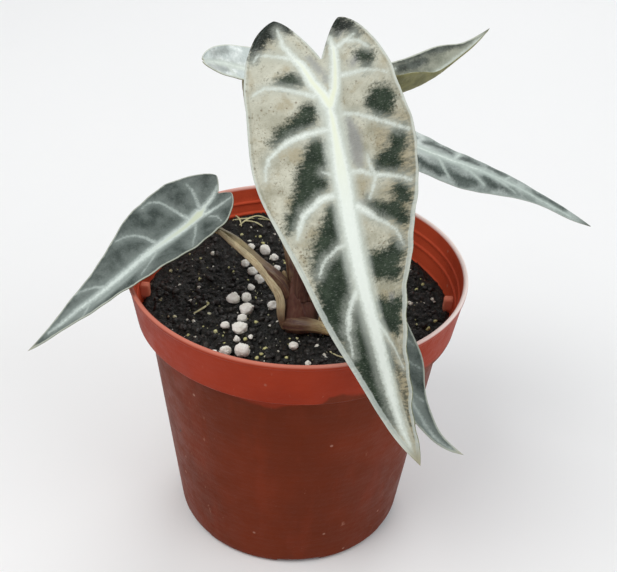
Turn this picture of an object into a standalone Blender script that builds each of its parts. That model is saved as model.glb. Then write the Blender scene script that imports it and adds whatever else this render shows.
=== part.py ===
"""Potted alocasia: a dwarf arrow-leaf alocasia in a 12 cm nursery pot.

Frame: metres, +Z up, the viewer on the -Y side. The origin is on the floor, on the pot's
centre line. The pot stands on its foot ring. Lengths in the tables are millimetres.
"""
import bpy
import bmesh
import numpy as np
from math import sin, cos, pi, radians, exp, hypot
from mathutils import Vector
from mathutils.bvhtree import BVHTree

MM = 0.001
GAP = 0.3                    # air left between neighbouring pieces

# Pot
RIM_RADIUS = 60.0
RIM_HEIGHT = 105.4
COLLAR_BOTTOM = 87.2         # the shoulder, where the collar steps out from the wall
WALL_TOP_RADIUS = 53.1
BASE_RADIUS = 42.9
FLOOR_BOTTOM = 2.3           # underside of the base disc
FLOOR_TOP = 3.5
POT_SEGMENTS = 72
FOOT_NOTCHES = 6
FOOT_NOTCH_FIRST = 7.0       # degrees to the right of the front
FOOT_NOTCH_WIDTH = 15.5
FOOT_NOTCH_HEIGHT = 1.9
DRAIN_RADIUS = 3.0
DRAIN_CIRCLE = 29.0
LUG_COUNT = 4
LUG_SIZE = (3.0, 3.6, 5.5)   # depth, width, height

# Soil
SOIL_RADIUS_LOW = 51.1        # just under the shoulder
SOIL_RADIUS_TOP = 52.0
SOIL_EDGE_HEIGHT = 89.0
SOIL_BOTTOM = FLOOR_TOP + GAP

# Leaves
BLADE_THICKNESS = 0.6


def clear_scene():
    for item in list(bpy.data.objects):
        bpy.data.objects.remove(item, do_unlink=True)


def material(name, colour, roughness, metallic=0.0):
    mat = bpy.data.materials.new(name)
    mat.use_nodes = True
    shader = mat.node_tree.nodes["Principled BSDF"]
    shader.inputs["Base Color"].default_value = (*colour, 1.0)
    shader.inputs["Roughness"].default_value = roughness
    shader.inputs["Metallic"].default_value = metallic
    return mat


def add_object(name, points, faces, mat, smooth=True):
    """One mesh object from millimetre points, faces turned outward."""
    mesh = bpy.data.meshes.new(name)
    mesh.from_pydata([Vector(p) * MM for p in points], [], faces)
    work = bmesh.new()
    work.from_mesh(mesh)
    bmesh.ops.remove_doubles(work, verts=work.verts, dist=0.00002)
    bmesh.ops.recalc_face_normals(work, faces=work.faces)
    for face in work.faces:
        face.smooth = smooth
    work.to_mesh(mesh)
    work.free()
    obj = bpy.data.objects.new(name, mesh)
    bpy.context.scene.collection.objects.link(obj)
    obj.data.materials.append(mat)
    return obj


def cut(obj, cutter, operation="DIFFERENCE"):
    mod = obj.modifiers.new(cutter.name, "BOOLEAN")
    mod.operation = operation
    mod.solver = "EXACT"
    mod.object = cutter
    cutter.hide_render = True
    cutter.display_type = "WIRE"
    bpy.context.view_layer.objects.active = obj
    bpy.ops.object.modifier_apply(modifier=mod.name)
    bpy.data.objects.remove(cutter, do_unlink=True)


def revolve(profile, segments):
    """Points and faces of a closed turned ring; profile rows are (radius, height)."""
    points = []
    faces = []
    rows = len(profile)
    for i in range(segments):
        a = 2 * pi * i / segments
        for radius, height in profile:
            points.append((radius * sin(a), -radius * cos(a), height))
    for i in range(segments):
        for k in range(rows):
            a = i * rows + k
            b = i * rows + (k + 1) % rows
            c = (i + 1) % segments * rows + (k + 1) % rows
            d = (i + 1) % segments * rows + k
            faces.append((a, b, c, d))
    return points, faces


def block(name, size, centre, turn):
    """A box, turned about the pot's centre line by an angle from the front."""
    points = []
    for x in (-0.5, 0.5):
        for y in (-0.5, 0.5):
            for z in (-0.5, 0.5):
                px = x * size[0] + centre[0]
                py = y * size[1] + centre[1]
                pz = z * size[2] + centre[2]
                points.append((px * cos(turn) - py * sin(turn),
                               px * sin(turn) + py * cos(turn), pz))
    faces = [(0, 1, 3, 2), (4, 6, 7, 5), (0, 4, 5, 1), (2, 3, 7, 6), (0, 2, 6, 4), (1, 5, 7, 3)]
    return add_object(name, points, faces, None, smooth=False)


def rod(name, radius, low, high, centre, segments=20):
    points = []
    for z in (low, high):
        for i in range(segments):
            a = 2 * pi * i / segments
            points.append((centre[0] + radius * cos(a), centre[1] + radius * sin(a), z))
    faces = [tuple(range(segments)), tuple(range(segments, 2 * segments))]
    for i in range(segments):
        j = (i + 1) % segments
        faces.append((i, j, segments + j, segments + i))
    return add_object(name, points, faces, None, smooth=False)


def build_pot(mat):
    inner_low = BASE_RADIUS - 1.9
    profile = [
        (0.0, FLOOR_TOP), (inner_low - 1.4, FLOOR_TOP), (inner_low, FLOOR_TOP + 1.3),
        (WALL_TOP_RADIUS - 1.2, COLLAR_BOTTOM - 0.4), (WALL_TOP_RADIUS - 0.6, COLLAR_BOTTOM + 0.8),
        (55.0, COLLAR_BOTTOM + 1.0), (55.6, COLLAR_BOTTOM + 1.6),
        (56.5, 93.7), (56.2, 94.2), (56.3, 94.8), (56.9, 95.2),
        (57.3, 98.2), (57.0, 98.7), (57.1, 99.3), (57.6, 99.7),
        (58.1, 103.4), (58.3, 104.6), (58.8, 105.2),
        (59.3, RIM_HEIGHT), (59.8, 105.2), (RIM_RADIUS, 104.6), (59.9, 103.8), (59.5, 103.2),
        (57.0, COLLAR_BOTTOM + 0.9), (56.5, COLLAR_BOTTOM + 0.2), (56.0, COLLAR_BOTTOM),
        (WALL_TOP_RADIUS + 0.5, COLLAR_BOTTOM), (WALL_TOP_RADIUS, COLLAR_BOTTOM - 0.6),
        (BASE_RADIUS, 3.2), (BASE_RADIUS - 0.5, 1.2), (BASE_RADIUS - 1.6, 0.25),
        (BASE_RADIUS - 2.6, 0.0), (BASE_RADIUS - 5.6, 0.0), (BASE_RADIUS - 6.4, 0.5),
        (BASE_RADIUS - 6.6, FLOOR_BOTTOM), (0.0, FLOOR_BOTTOM),
    ]
    points, faces = revolve(profile[1:-1], POT_SEGMENTS)
    # The last strip of the turned ring would close through the base: leave it out and
    # cover the base disc above and below with a fan instead.
    rows = len(profile) - 2
    faces = [f for f in faces if not (f[0] % rows == rows - 1 and f[1] % rows == 0)]
    top = len(points)
    points.append((0.0, 0.0, FLOOR_TOP))
    points.append((0.0, 0.0, FLOOR_BOTTOM))
    for i in range(POT_SEGMENTS):
        j = (i + 1) % POT_SEGMENTS
        faces.append((i * rows, j * rows, top))
        faces.append((i * rows + rows - 1, j * rows + rows - 1, top + 1))
    pot = add_object("pot", points, faces, mat)
    for k in range(LUG_COUNT):
        depth, width, height = LUG_SIZE
        centre = (55.9 - depth / 2, 0.0, COLLAR_BOTTOM + 0.6 + height / 2)
        lug = block("lug", (depth, width, height), centre, radians(90.0 * k))
        cut(pot, lug, "UNION")
    for k in range(FOOT_NOTCHES):
        turn = radians(FOOT_NOTCH_FIRST + 60.0 * k)
        size = (FOOT_NOTCH_WIDTH, 13.0, 4.0)
        notch = block("notch", size, (0.0, -40.0, FOOT_NOTCH_HEIGHT - 2.0), turn)
        cut(pot, notch)
        spot = (DRAIN_CIRCLE * sin(turn), -DRAIN_CIRCLE * cos(turn))
        cut(pot, rod("drain", DRAIN_RADIUS, -1.0, 6.0, spot, 16))
    return pot


def soil_height(x, y):
    """The compost's top: nearly level, heaped at the back left, uneven."""
    r = hypot(x, y)
    dish = -0.5 * (1.0 - (r / SOIL_RADIUS_TOP) ** 2)
    heap = 7.0 * exp(-((x + 21.0) ** 2 + (y - 46.0) ** 2) / 290.0)
    rough = 0.35 * sin(0.31 * x + 1.1) * cos(0.27 * y - 0.4) + 0.25 * sin(0.53 * y + 0.37 * x)
    return SOIL_EDGE_HEIGHT + dish + heap + rough * min(1.0, (SOIL_RADIUS_TOP - r) / 6.0)


def build_soil(mat):
    around = 48
    rings = (51.5, 46.0, 38.0, 30.0, 22.0, 14.0, 7.0)
    taper = (WALL_TOP_RADIUS - BASE_RADIUS) / (COLLAR_BOTTOM - FLOOR_TOP)
    low_radius = BASE_RADIUS - 2.5
    points = []
    faces = []
    side = ((low_radius - 1.8, SOIL_BOTTOM), (low_radius, SOIL_BOTTOM + 1.8),
            (low_radius + taper * 40.0, 45.0), (SOIL_RADIUS_LOW, COLLAR_BOTTOM - 1.4),
            (SOIL_RADIUS_TOP, SOIL_EDGE_HEIGHT - 0.6))
    for radius, height in side:
        for i in range(around):
            a = 2 * pi * i / around
            points.append((radius * cos(a), radius * sin(a), height))
    for radius in rings:
        for i in range(around):
            a = 2 * pi * i / around
            x = radius * cos(a)
            y = radius * sin(a)
            points.append((x, y, soil_height(x, y)))
    count = len(points) // around
    for k in range(count - 1):
        for i in range(around):
            j = (i + 1) % around
            faces.append((k * around + i, k * around + j, (k + 1) * around + j, (k + 1) * around + i))
    points.append((0.0, 0.0, SOIL_BOTTOM))
    points.append((0.0, 0.0, soil_height(0.0, 0.0)))
    for i in range(around):
        j = (i + 1) % around
        faces.append((i, j, len(points) - 2))
        faces.append(((count - 1) * around + i, (count - 1) * around + j, len(points) - 1))
    return add_object("soil", points, faces, mat)


# --- smooth curves -------------------------------------------------------------------------

def natural_cubic(knots, values, at):
    """Natural cubic spline through values at knots (rows of values may be vectors)."""
    knots = np.asarray(knots, float)
    values = np.asarray(values, float).reshape(len(knots), -1)
    count = len(knots)
    step = np.diff(knots)
    matrix = np.eye(count)
    right = np.zeros_like(values)
    for i in range(1, count - 1):
        matrix[i, i - 1] = step[i - 1]
        matrix[i, i] = 2 * (step[i - 1] + step[i])
        matrix[i, i + 1] = step[i]
        right[i] = 6 * ((values[i + 1] - values[i]) / step[i]
                        - (values[i] - values[i - 1]) / step[i - 1])
    bend = np.linalg.solve(matrix, right)
    at = np.asarray(at, float)
    i = np.clip(np.searchsorted(knots, at, side="right") - 1, 0, count - 2)
    h = step[i][:, None]
    a = (knots[i + 1] - at)[:, None]
    c = (at - knots[i])[:, None]
    return ((bend[i] * a ** 3 + bend[i + 1] * c ** 3) / (6 * h)
            + (values[i] / h - bend[i] * h / 6) * a
            + (values[i + 1] / h - bend[i + 1] * h / 6) * c)


def path_through(points, samples=300):
    """A smooth path through points, with the running length at each sample."""
    points = np.asarray(points, float)
    knots = np.concatenate([[0], np.cumsum(np.linalg.norm(np.diff(points, axis=0), axis=1))])
    path = natural_cubic(knots / knots[-1], points, np.linspace(0, 1, samples))
    length = np.concatenate([[0], np.cumsum(np.linalg.norm(np.diff(path, axis=0), axis=1))])
    return path, length


# --- leaves --------------------------------------------------------------------------------
# Each leaf: spine = points down the midrib from between the lobes to the tip; joint = which
# of them the stalk meets; facing = rows of (fraction of the length, way the top looks);
# fold = for each half, rows of (fraction, degrees the half rises from flat); widths = for
# each half, rows of (fraction from the joint to the tip, half-width); lobes = for each half,
# (length behind the joint, offset of the lobe's end, roundness); notch = how far behind the
# joint the two lobes stay joined.
LEAVES = {
    "main": dict(
        spine=((0.5, -4, 199), (4.5, -15, 188), (7.5, -24, 178.5), (14, -44, 155.5),
               (20.5, -62, 136), (25.5, -72, 125.5), (32, -84, 109), (38.5, -92, 96)),
        joint=2,
        facing=((0, (-0.1, -0.8, 0.6)), (0.5, (-0.1, -0.8, 0.6)), (1, (-0.3, -0.8, 0.5))),
        fold=(((0, 20), (0.2, 25), (0.45, 22), (0.6, 28), (0.7, 45), (0.8, 52), (1, 50)),
              ((0, 4), (0.2, 5), (0.5, 8), (1, 8))),
        widths=(((0, 22.5), (0.07, 24), (0.15, 25), (0.28, 23), (0.41, 19.5), (0.62, 14),
                 (0.83, 8), (0.93, 3.5), (1, 0)),
                ((0, 25), (0.1, 26), (0.19, 26), (0.33, 22), (0.45, 17.5), (0.64, 12.8),
                 (0.83, 6.6), (0.93, 3.3), (1, 0))),
        lobes=((23, 8, 1.35), (28, 11.5, 2.2)), notch=12.5),
    "left": dict(
        spine=((-25, 10, 132.5), (-35, 2, 122), (-50, -14, 114.5), (-62, -24, 107),
               (-74, -32, 100), (-88, -38, 90)),
        joint=1,
        facing=((0, (-0.3, -0.5, 0.82)), (1, (-0.3, -0.5, 0.82))),
        fold=(((0, 15), (1, 18)), ((0, 15), (1, 15))),
        widths=(((0, 13), (0.11, 12.8), (0.2, 11.8), (0.34, 9.2), (0.48, 6.1), (0.6, 4.7),
                 (0.7, 3.8), (0.83, 2.3), (0.94, 1.1), (1, 0)),
                ((0, 17), (0.07, 17.8), (0.14, 17.6), (0.27, 16), (0.44, 11.4), (0.58, 8.2),
                 (0.72, 5.2), (0.86, 2.2), (1, 0))),
        lobes=((13, 5.5, 2.3), (14.5, 4.5, 0.9)), notch=10),
    "right": dict(
        spine=((9, 42, 145), (21, 40, 142), (42, 34, 136), (54, 29, 134), (65, 25, 132),
               (73, 22, 130), (86, 17, 125.5), (93, 14, 123), (103, 11, 119.5)),
        joint=1,
        facing=((0, (0.1, -0.3, 0.95)), (1, (0.1, -0.4, 0.9))),
        fold=(((0, -13), (1, -13)), ((0, -13), (1, -13))),
        widths=(((0, 10), (0.1, 10.5), (0.22, 9.5), (0.41, 6.5), (0.6, 4.6), (0.75, 3.6),
                 (0.86, 3), (0.95, 1.4), (1, 0)),
                ((0, 10), (0.12, 10.5), (0.28, 9.2), (0.43, 10), (0.52, 9.1), (0.6, 7.3),
                 (0.67, 5), (0.74, 3.1), (0.82, 1.8), (0.93, 1.2), (1, 0))),
        lobes=((12, 5, 2), (12, 5, 2)), notch=7),
    "back": dict(
        spine=((-34.5, 16, 173), (-19, 24, 167), (5, 32, 159), (23, 40, 153.5),
               (34, 44, 154), (46, 50, 158), (55, 55, 163.5), (60, 58, 167), (66, 62, 172)),
        joint=1,
        facing=((0, (0.1, -0.5, 0.85)), (0.45, (0, -0.5, 0.85)), (0.6, (-0.2, -0.3, 0.9)),
                (1, (-0.3, -0.4, 0.85))),
        fold=(((0, 5), (0.45, 10), (0.6, 35), (1, 35)), ((0, 5), (0.45, 30), (0.6, 70), (1, 70))),
        widths=(((0, 9), (0.15, 10), (0.4, 10.5), (0.58, 10.5), (0.68, 10), (0.76, 8.8),
                 (0.83, 6.3), (0.87, 3.8), (0.92, 2), (1, 0)),
                ((0, 6), (0.15, 7), (0.35, 9.5), (0.55, 10.3), (0.61, 9.8), (0.66, 7.5),
                 (0.72, 3), (0.78, 1.3), (0.9, 0.9), (1, 0))),
        lobes=((18.5, 3, 2.2), (18, 4, 2.6)), notch=16),
    "under": dict(
        spine=((17, -30, 136.5), (21, -38, 130.5), (28, -54, 116.5), (34, -67, 105.5),
               (39, -72.5, 99.5), (44, -78, 95), (52, -84, 94)),
        joint=1,
        facing=((0, (0.2, -0.7, 0.7)), (1, (0.2, -0.7, 0.7))),
        fold=(((0, 8), (1, 8)), ((0, 8), (1, 8))),
        widths=(((0, 7), (0.12, 7.3), (0.3, 7.3), (0.42, 8.6), (0.52, 8.6), (0.61, 6.6),
                 (0.68, 4.6), (0.76, 3.3), (0.86, 2.1), (0.94, 1), (1, 0)),
                ((0, 8), (0.12, 8.4), (0.3, 8.4), (0.42, 8.2), (0.52, 7.3), (0.61, 5.6),
                 (0.7, 3.7), (0.78, 2.2), (0.86, 1.3), (0.94, 0.8), (1, 0))),
        lobes=((10, 4, 2), (10, 4, 2)), notch=6),
}


class Blade:
    """A leaf blade as a surface: u runs along the midrib from the joint, v across it."""

    def __init__(self, leaf):
        self.leaf = leaf
        self.path, length = path_through(leaf["spine"])
        start = np.asarray(leaf["spine"][leaf["joint"]], float)
        near = int(np.argmin(np.linalg.norm(self.path - start, axis=1)))
        self.run = length - length[near]
        self.behind = -self.run[0]
        self.ahead = self.run[-1]

    def along(self, u):
        return np.stack([np.interp(u, self.run, self.path[:, k]) for k in range(3)], -1)

    def frame(self, u):
        u = np.asarray(u, float)
        ahead = self.along(np.minimum(u + 2.0, self.ahead))
        behind = self.along(np.maximum(u - 2.0, -self.behind))
        line = ahead - behind
        line /= np.linalg.norm(line, axis=-1, keepdims=True)
        part = (u + self.behind) / (self.behind + self.ahead)
        rows = self.leaf["facing"]
        marks = [row[0] for row in rows]
        face = np.stack([np.interp(part, marks, [row[1][k] for row in rows])
                         for k in range(3)], -1)
        face = face - (face * line).sum(-1, keepdims=True) * line
        face /= np.linalg.norm(face, axis=-1, keepdims=True)
        return self.along(u), face, np.cross(line, face), part

    def at(self, u, v, half):
        """Points at u along and v out from the midrib, on half 0 or half 1."""
        spot, face, across, part = self.frame(u)
        rows = self.leaf["fold"][half]
        rise = np.radians(np.interp(part, [row[0] for row in rows], [row[1] for row in rows]))
        hand = 1.0 if half else -1.0
        v = np.asarray(v, float)[..., None]
        return spot + v * (hand * np.cos(rise)[..., None] * across + np.sin(rise)[..., None] * face)

    def edges(self, u, half):
        """How far out the blade starts and ends at each u, on one half."""
        length, offset, round_by = self.leaf["lobes"][half]
        notch = self.leaf["notch"]
        rows = np.array(self.leaf["widths"][half], float)
        ahead = natural_cubic(rows[:, 0], rows[:, 1], np.clip(u / self.ahead, 0, 1))[:, 0]
        back = np.clip(-u / length, 0, 1)
        lobe = offset + (rows[0, 1] - offset) * (1 - back ** round_by) ** 0.75
        outer = np.where(u < 0, lobe, np.maximum(ahead, 0))
        split = np.clip((-u - notch) / (length - notch), 0, 1)
        inner = offset * (1 - (1 - split ** 1.1) ** 0.75)
        return inner, outer


def build_blade(name, leaf, mat, rows_ahead, rows_joined, rows_lobe, across):
    blade = Blade(leaf)
    notch = leaf["notch"]
    joined = np.concatenate([np.linspace(-notch, 0, rows_joined, endpoint=False),
                             blade.ahead * np.linspace(0, 1, rows_ahead)])
    points = []
    faces = []
    for half in (0, 1):
        length = leaf["lobes"][half][0]
        free = -length + (length - notch) * np.linspace(0, 1, rows_lobe, endpoint=False) ** 1.4
        u = np.concatenate([free, joined])
        inner, outer = blade.edges(u, half)
        grid = []
        for k in range(across + 1):
            v = inner + (outer - inner) * k / across
            grid.append(blade.at(u, v, half))
        first = len(points)
        for i in range(len(u)):
            points.extend(tuple(column[i]) for column in grid)
        wide = across + 1
        for i in range(len(u) - 1):
            for k in range(across):
                a = first + i * wide + k
                quad = (a, a + 1, a + wide + 1, a + wide)
                if i == 0:
                    quad = (a, a + wide + 1, a + wide)
                elif i == len(u) - 2:
                    quad = (a, a + 1, a + wide)
                if not half:
                    quad = quad[::-1]
                faces.append(quad)
    mesh = bpy.data.meshes.new(name)
    mesh.from_pydata([Vector(p) * MM for p in points], [], faces)
    work = bmesh.new()
    work.from_mesh(mesh)
    bmesh.ops.remove_doubles(work, verts=work.verts, dist=0.00002)
    for face in work.faces:
        face.smooth = True
    work.to_mesh(mesh)
    work.free()
    obj = bpy.data.objects.new(name, mesh)
    bpy.context.scene.collection.objects.link(obj)
    obj.data.materials.append(mat)
    sheet = obj.modifiers.new("blade thickness", "SOLIDIFY")
    sheet.thickness = BLADE_THICKNESS * MM
    sheet.offset = -1.0
    sheet.use_rim = True
    return obj, blade


# --- stalks --------------------------------------------------------------------------------

def sweep(name, points, sizes, mat, around=10, rings=14, wide=None, ends=None):
    """A solid swept along a smooth path. sizes = half-widths across at the points; wide =
    for a flat scale, (half-thickness, direction its flat face looks); ends = the ways the
    first and the last cross-sections look."""
    path, length = path_through(points)
    knots = np.concatenate([[0], np.cumsum(np.linalg.norm(
        np.diff(np.asarray(points, float), axis=0), axis=1))])
    part = np.linspace(0, 1, rings)
    where = np.stack([np.interp(part * length[-1], length, path[:, k]) for k in range(3)], -1)
    line = np.gradient(where, axis=0)
    line /= np.linalg.norm(line, axis=1, keepdims=True)
    if ends:
        line[0] = ends[0]
        line[-1] = ends[1]
    size = np.interp(part, knots / knots[-1], sizes)
    out = []
    across = None
    for i in range(rings):
        if wide:
            face = np.asarray(wide[1], float)
            across = np.cross(line[i], face)
        elif across is None:
            across = np.cross(line[i], (0.3, 1.0, 0.2))
        across = across - across.dot(line[i]) * line[i]
        across = across / np.linalg.norm(across)
        up = np.cross(line[i], across)
        thick = wide[0] if wide else size[i]
        for k in range(around):
            a = 2 * pi * k / around
            out.append(tuple(where[i] + size[i] * cos(a) * across + thick * sin(a) * up))
    faces = [tuple(range(around)), tuple(range((rings - 1) * around, rings * around))]
    for i in range(rings - 1):
        for k in range(around):
            m = (k + 1) % around
            faces.append((i * around + k, i * around + m, (i + 1) * around + m,
                          (i + 1) * around + k))
    return add_object(name, out, faces, mat)


CROWN = ((1.5, -11.5, 73), (1.5, -12.2, 80), (1.5, -13, 87), (1.3, -13.2, 95), (1.2, -13.2, 102.2))
CROWN_SIZES = (3.2, 5.4, 6.4, 6.1, 5.4)

# Stalks from the crown to just short of the underside of their leaf.
STALKS = {
    "main": ((1.4, -15.4, 102.7), (1.3, -15.2, 105), (1.0, -13.8, 125), (2.6, -14.5, 145),
             (4.6, -16.5, 163)),
    "left": ((-3.0, -13.9, 102.9), (-3.9, -13.6, 105), (-12.3, -9, 112), (-18.4, -5, 114),
             (-24, -2, 115.6)),
    "right": ((4.0, -10.2, 102.8), (4.6, -9.4, 105), (11, 10, 122), (16.8, 27, 129.5),
              (20, 36.5, 133.5)),
    "back": ((-0.8, -9.8, 102.8), (-1.2, -9.1, 105), (-11, 5.5, 134), (-17.5, 16, 150),
             (-20, 22.5, 159)),
    "under": ((5.2, -14.4, 102.8), (5.8, -15, 105), (13, -23, 116.5), (17.5, -30, 121.5),
              (19.8, -34, 124)),
}
STALK_SIZES = {"main": (1.7, 1.5), "left": (1.7, 1.25), "right": (1.6, 1.1), "back": (1.6, 1.1),
               "under": (1.6, 1.1)}

# Perlite grains on the compost: x, y, radius.
GRAINS = (
    (-13, 29, 2.0), (-9.5, 26, 1.6), (-18.5, 30.5, 1.5), (-20, 21, 1.7), (-17, 16.5, 1.9),
    (-14, 11.5, 1.9), (-17, 7, 1.6), (-8, 19.5, 1.5), (-22.5, -2.5, 2.4), (-18, -0.5, 1.8),
    (-17.5, -8, 2.8), (-18.5, -13.5, 1.8), (-24, -18.5, 1.6), (-19, -20, 2.7),
    (-19.5, -26, 1.4), (-22.5, -33.5, 2.0), (-17, -33.5, 2.6), (-26.5, -34.5, 1.3),
    (-8.5, -5, 2.0), (0, -28.5, 1.6), (-15, -23.5, 1.0), (5, -37.5, 1.2),
)


def build_grain(index, spot, ground, mat):
    """A rough popped grain resting just above the compost."""
    x, y, radius = spot
    work = bmesh.new()
    bmesh.ops.create_icosphere(work, subdivisions=2, radius=1.0)
    seed = 1.7 * index
    stretch = (1.0 + 0.14 * sin(seed), 1.0 - 0.12 * sin(seed + 1.0), 0.88 + 0.06 * cos(seed))
    lowest = 1.0e9
    for vert in work.verts:
        p = vert.co.copy()
        lump = 1.0 + 0.07 * sin(4.1 * p.x + seed) + 0.07 * sin(4.7 * p.y + 2.0 * seed + 3.0 * p.z)
        vert.co = Vector((p.x * stretch[0], p.y * stretch[1], p.z * stretch[2])) * lump * radius
        vert.co.x += x
        vert.co.y += y
        vert.co.z += 120.0
        hit = ground.ray_cast(vert.co * MM, Vector((0.0, 0.0, -1.0)))
        lowest = min(lowest, hit[3] / MM)
    for vert in work.verts:
        vert.co.z -= lowest - GAP
        vert.co *= MM
    for face in work.faces:
        face.smooth = True
    name = "perlite_%02d" % (index + 1)
    mesh = bpy.data.meshes.new(name)
    work.to_mesh(mesh)
    work.free()
    obj = bpy.data.objects.new(name, mesh)
    bpy.context.scene.collection.objects.link(obj)
    obj.data.materials.append(mat)
    return obj


def build():
    clear_scene()
    terracotta = material("pot plastic", (0.42, 0.06, 0.035), 0.42)
    compost = material("compost", (0.012, 0.010, 0.008), 0.95)
    maroon = material("crown skin", (0.11, 0.035, 0.028), 0.5)
    stalk_skin = material("stalk skin", (0.25, 0.20, 0.10), 0.5)
    dry_skin = material("dry sheath", (0.52, 0.42, 0.24), 0.75)
    olive = material("old stalk", (0.33, 0.27, 0.09), 0.6)
    silver = material("mottled blade", (0.50, 0.48, 0.38), 0.5)
    dark_leaf = material("dark blade", (0.09, 0.13, 0.11), 0.5)
    pale_leaf = material("silver blade", (0.36, 0.42, 0.38), 0.5)
    white = material("perlite", (0.72, 0.69, 0.62), 0.85)

    build_pot(terracotta)
    soil = build_soil(compost)
    crown = sweep("crown", CROWN, CROWN_SIZES, maroon, around=20, rings=12)
    socket_path = tuple((p[0], p[1], p[2] - GAP) for p in CROWN)
    socket = sweep("socket", socket_path, tuple(s + GAP + 0.1 for s in CROWN_SIZES), None,
                   around=20, rings=12)
    cut(soil, socket)

    skins = {"main": silver, "left": dark_leaf, "right": pale_leaf, "back": pale_leaf,
             "under": dark_leaf}
    detail = {"main": (18, 3, 6, 6), "left": (16, 3, 4, 4), "right": (16, 2, 4, 4),
              "back": (18, 3, 3, 5), "under": (16, 2, 4, 4)}
    for key, leaf in LEAVES.items():
        obj, blade = build_blade("leaf_" + key, leaf, skins[key], *detail[key])
        spot, face, across, part = blade.frame(np.array([0.0]))
        base, tip = STALK_SIZES[key]
        droop = max(0.0, -leaf["fold"][0][0][1])
        stand_off = BLADE_THICKNESS + GAP + 0.1 + 1.4 * tip * sin(radians(droop))
        end = spot[0] - face[0] * stand_off
        before = end - face[0] * 3.0
        points = STALKS[key] + (tuple(before), tuple(end))
        steps = len(points)
        sizes = tuple(base + (tip - base) * i / (steps - 1) for i in range(steps))
        sweep("stalk_" + key, points, sizes, maroon if key == "main" else stalk_skin,
              around=10, rings=16, ends=((0.0, 0.0, 1.0), tuple(face[0])))

    sweep("sheath_left", ((-4.0, -18.6, 89.4), (-5.3, -18.6, 94.5), (-6.3, -17.3, 101.5),
                          (-9.4, -14, 106.4), (-14, -11, 110.4), (-19, -7.5, 112.7),
                          (-24, -4.7, 114.3)),
          (1.3, 1.4, 1.3, 1.2, 1.1, 0.9, 0.4), dry_skin, around=8, rings=14,
          wide=(0.45, (-0.5, -0.8, 0.3)))
    sweep("old_stalk", ((2.5, -21.5, 91.3), (6, -22.2, 92), (10, -22.4, 91.8), (14, -22.5, 91.6),
                        (18.5, -22.5, 91.0)),
          (1.7, 2.1, 2.1, 2.0, 1.7), olive, around=10, rings=10)
    sweep("dry_scale", ((8.9, -17.0, 89.2), (9.2, -16.6, 93), (9.0, -15.9, 99)),
          (2.0, 1.9, 0.6), dry_skin, around=8, rings=7, wide=(0.4, (0.85, -0.5, 0.0)))
    sweep("torn_scale", ((-3.7, -10.7, 102.7), (-4.4, -10.0, 105.5), (-4.6, -9.3, 108)),
          (1.3, 1.2, 0.5), dry_skin, around=8, rings=6, wide=(0.3, (-0.5, -0.8, 0.2)))

    bpy.context.view_layer.update()
    graph = bpy.context.evaluated_depsgraph_get()
    ground = BVHTree.FromObject(soil, graph)
    for index, spot in enumerate(GRAINS):
        build_grain(index, spot, ground, white)


build()
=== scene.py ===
"""Looks of the potted alocasia: leaves, stalks, compost and pot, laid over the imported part.

Lengths are millimetres until a mesh is written, then metres in the part's own frame:
+Z up, the viewer on the -Y side, the origin on the floor at the pot's centre line.
"""
from math import sin, cos, pi, radians

import bmesh
import bpy
import numpy as np
from mathutils import Matrix, Vector


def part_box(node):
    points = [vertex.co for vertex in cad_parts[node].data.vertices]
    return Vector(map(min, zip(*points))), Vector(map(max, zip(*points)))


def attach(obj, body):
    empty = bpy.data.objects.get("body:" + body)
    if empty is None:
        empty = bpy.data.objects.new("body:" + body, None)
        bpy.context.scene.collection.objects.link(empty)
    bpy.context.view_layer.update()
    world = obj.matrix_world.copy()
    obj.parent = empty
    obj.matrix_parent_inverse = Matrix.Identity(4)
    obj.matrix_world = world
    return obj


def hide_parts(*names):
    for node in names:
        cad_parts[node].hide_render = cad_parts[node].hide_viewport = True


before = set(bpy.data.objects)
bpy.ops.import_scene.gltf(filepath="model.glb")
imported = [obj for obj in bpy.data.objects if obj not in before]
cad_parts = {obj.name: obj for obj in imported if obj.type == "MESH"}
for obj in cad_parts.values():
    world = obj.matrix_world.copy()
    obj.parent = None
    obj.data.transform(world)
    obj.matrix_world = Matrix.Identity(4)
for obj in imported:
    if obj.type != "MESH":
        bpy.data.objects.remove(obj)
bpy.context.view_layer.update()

MM = 0.001
WELD = 0.00001               # vertices closer than this are one


# --- meshes ----------------------------------------------------------------------------------

def sheet_faces(rows, columns, first=0, close_columns=False, flip=False):
    """Quads of a grid of points: each face joins a point to its neighbours along and across."""
    a = np.arange(rows - 1)[:, None]
    b = np.arange(columns if close_columns else columns - 1)[None, :]
    a2 = a + 1
    b2 = (b + 1) % columns
    quad = np.stack([a * columns + b, a * columns + b2, a2 * columns + b2, a2 * columns + b], -1)
    quad = quad.reshape(-1, 4) + first
    return quad[:, ::-1] if flip else quad


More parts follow.
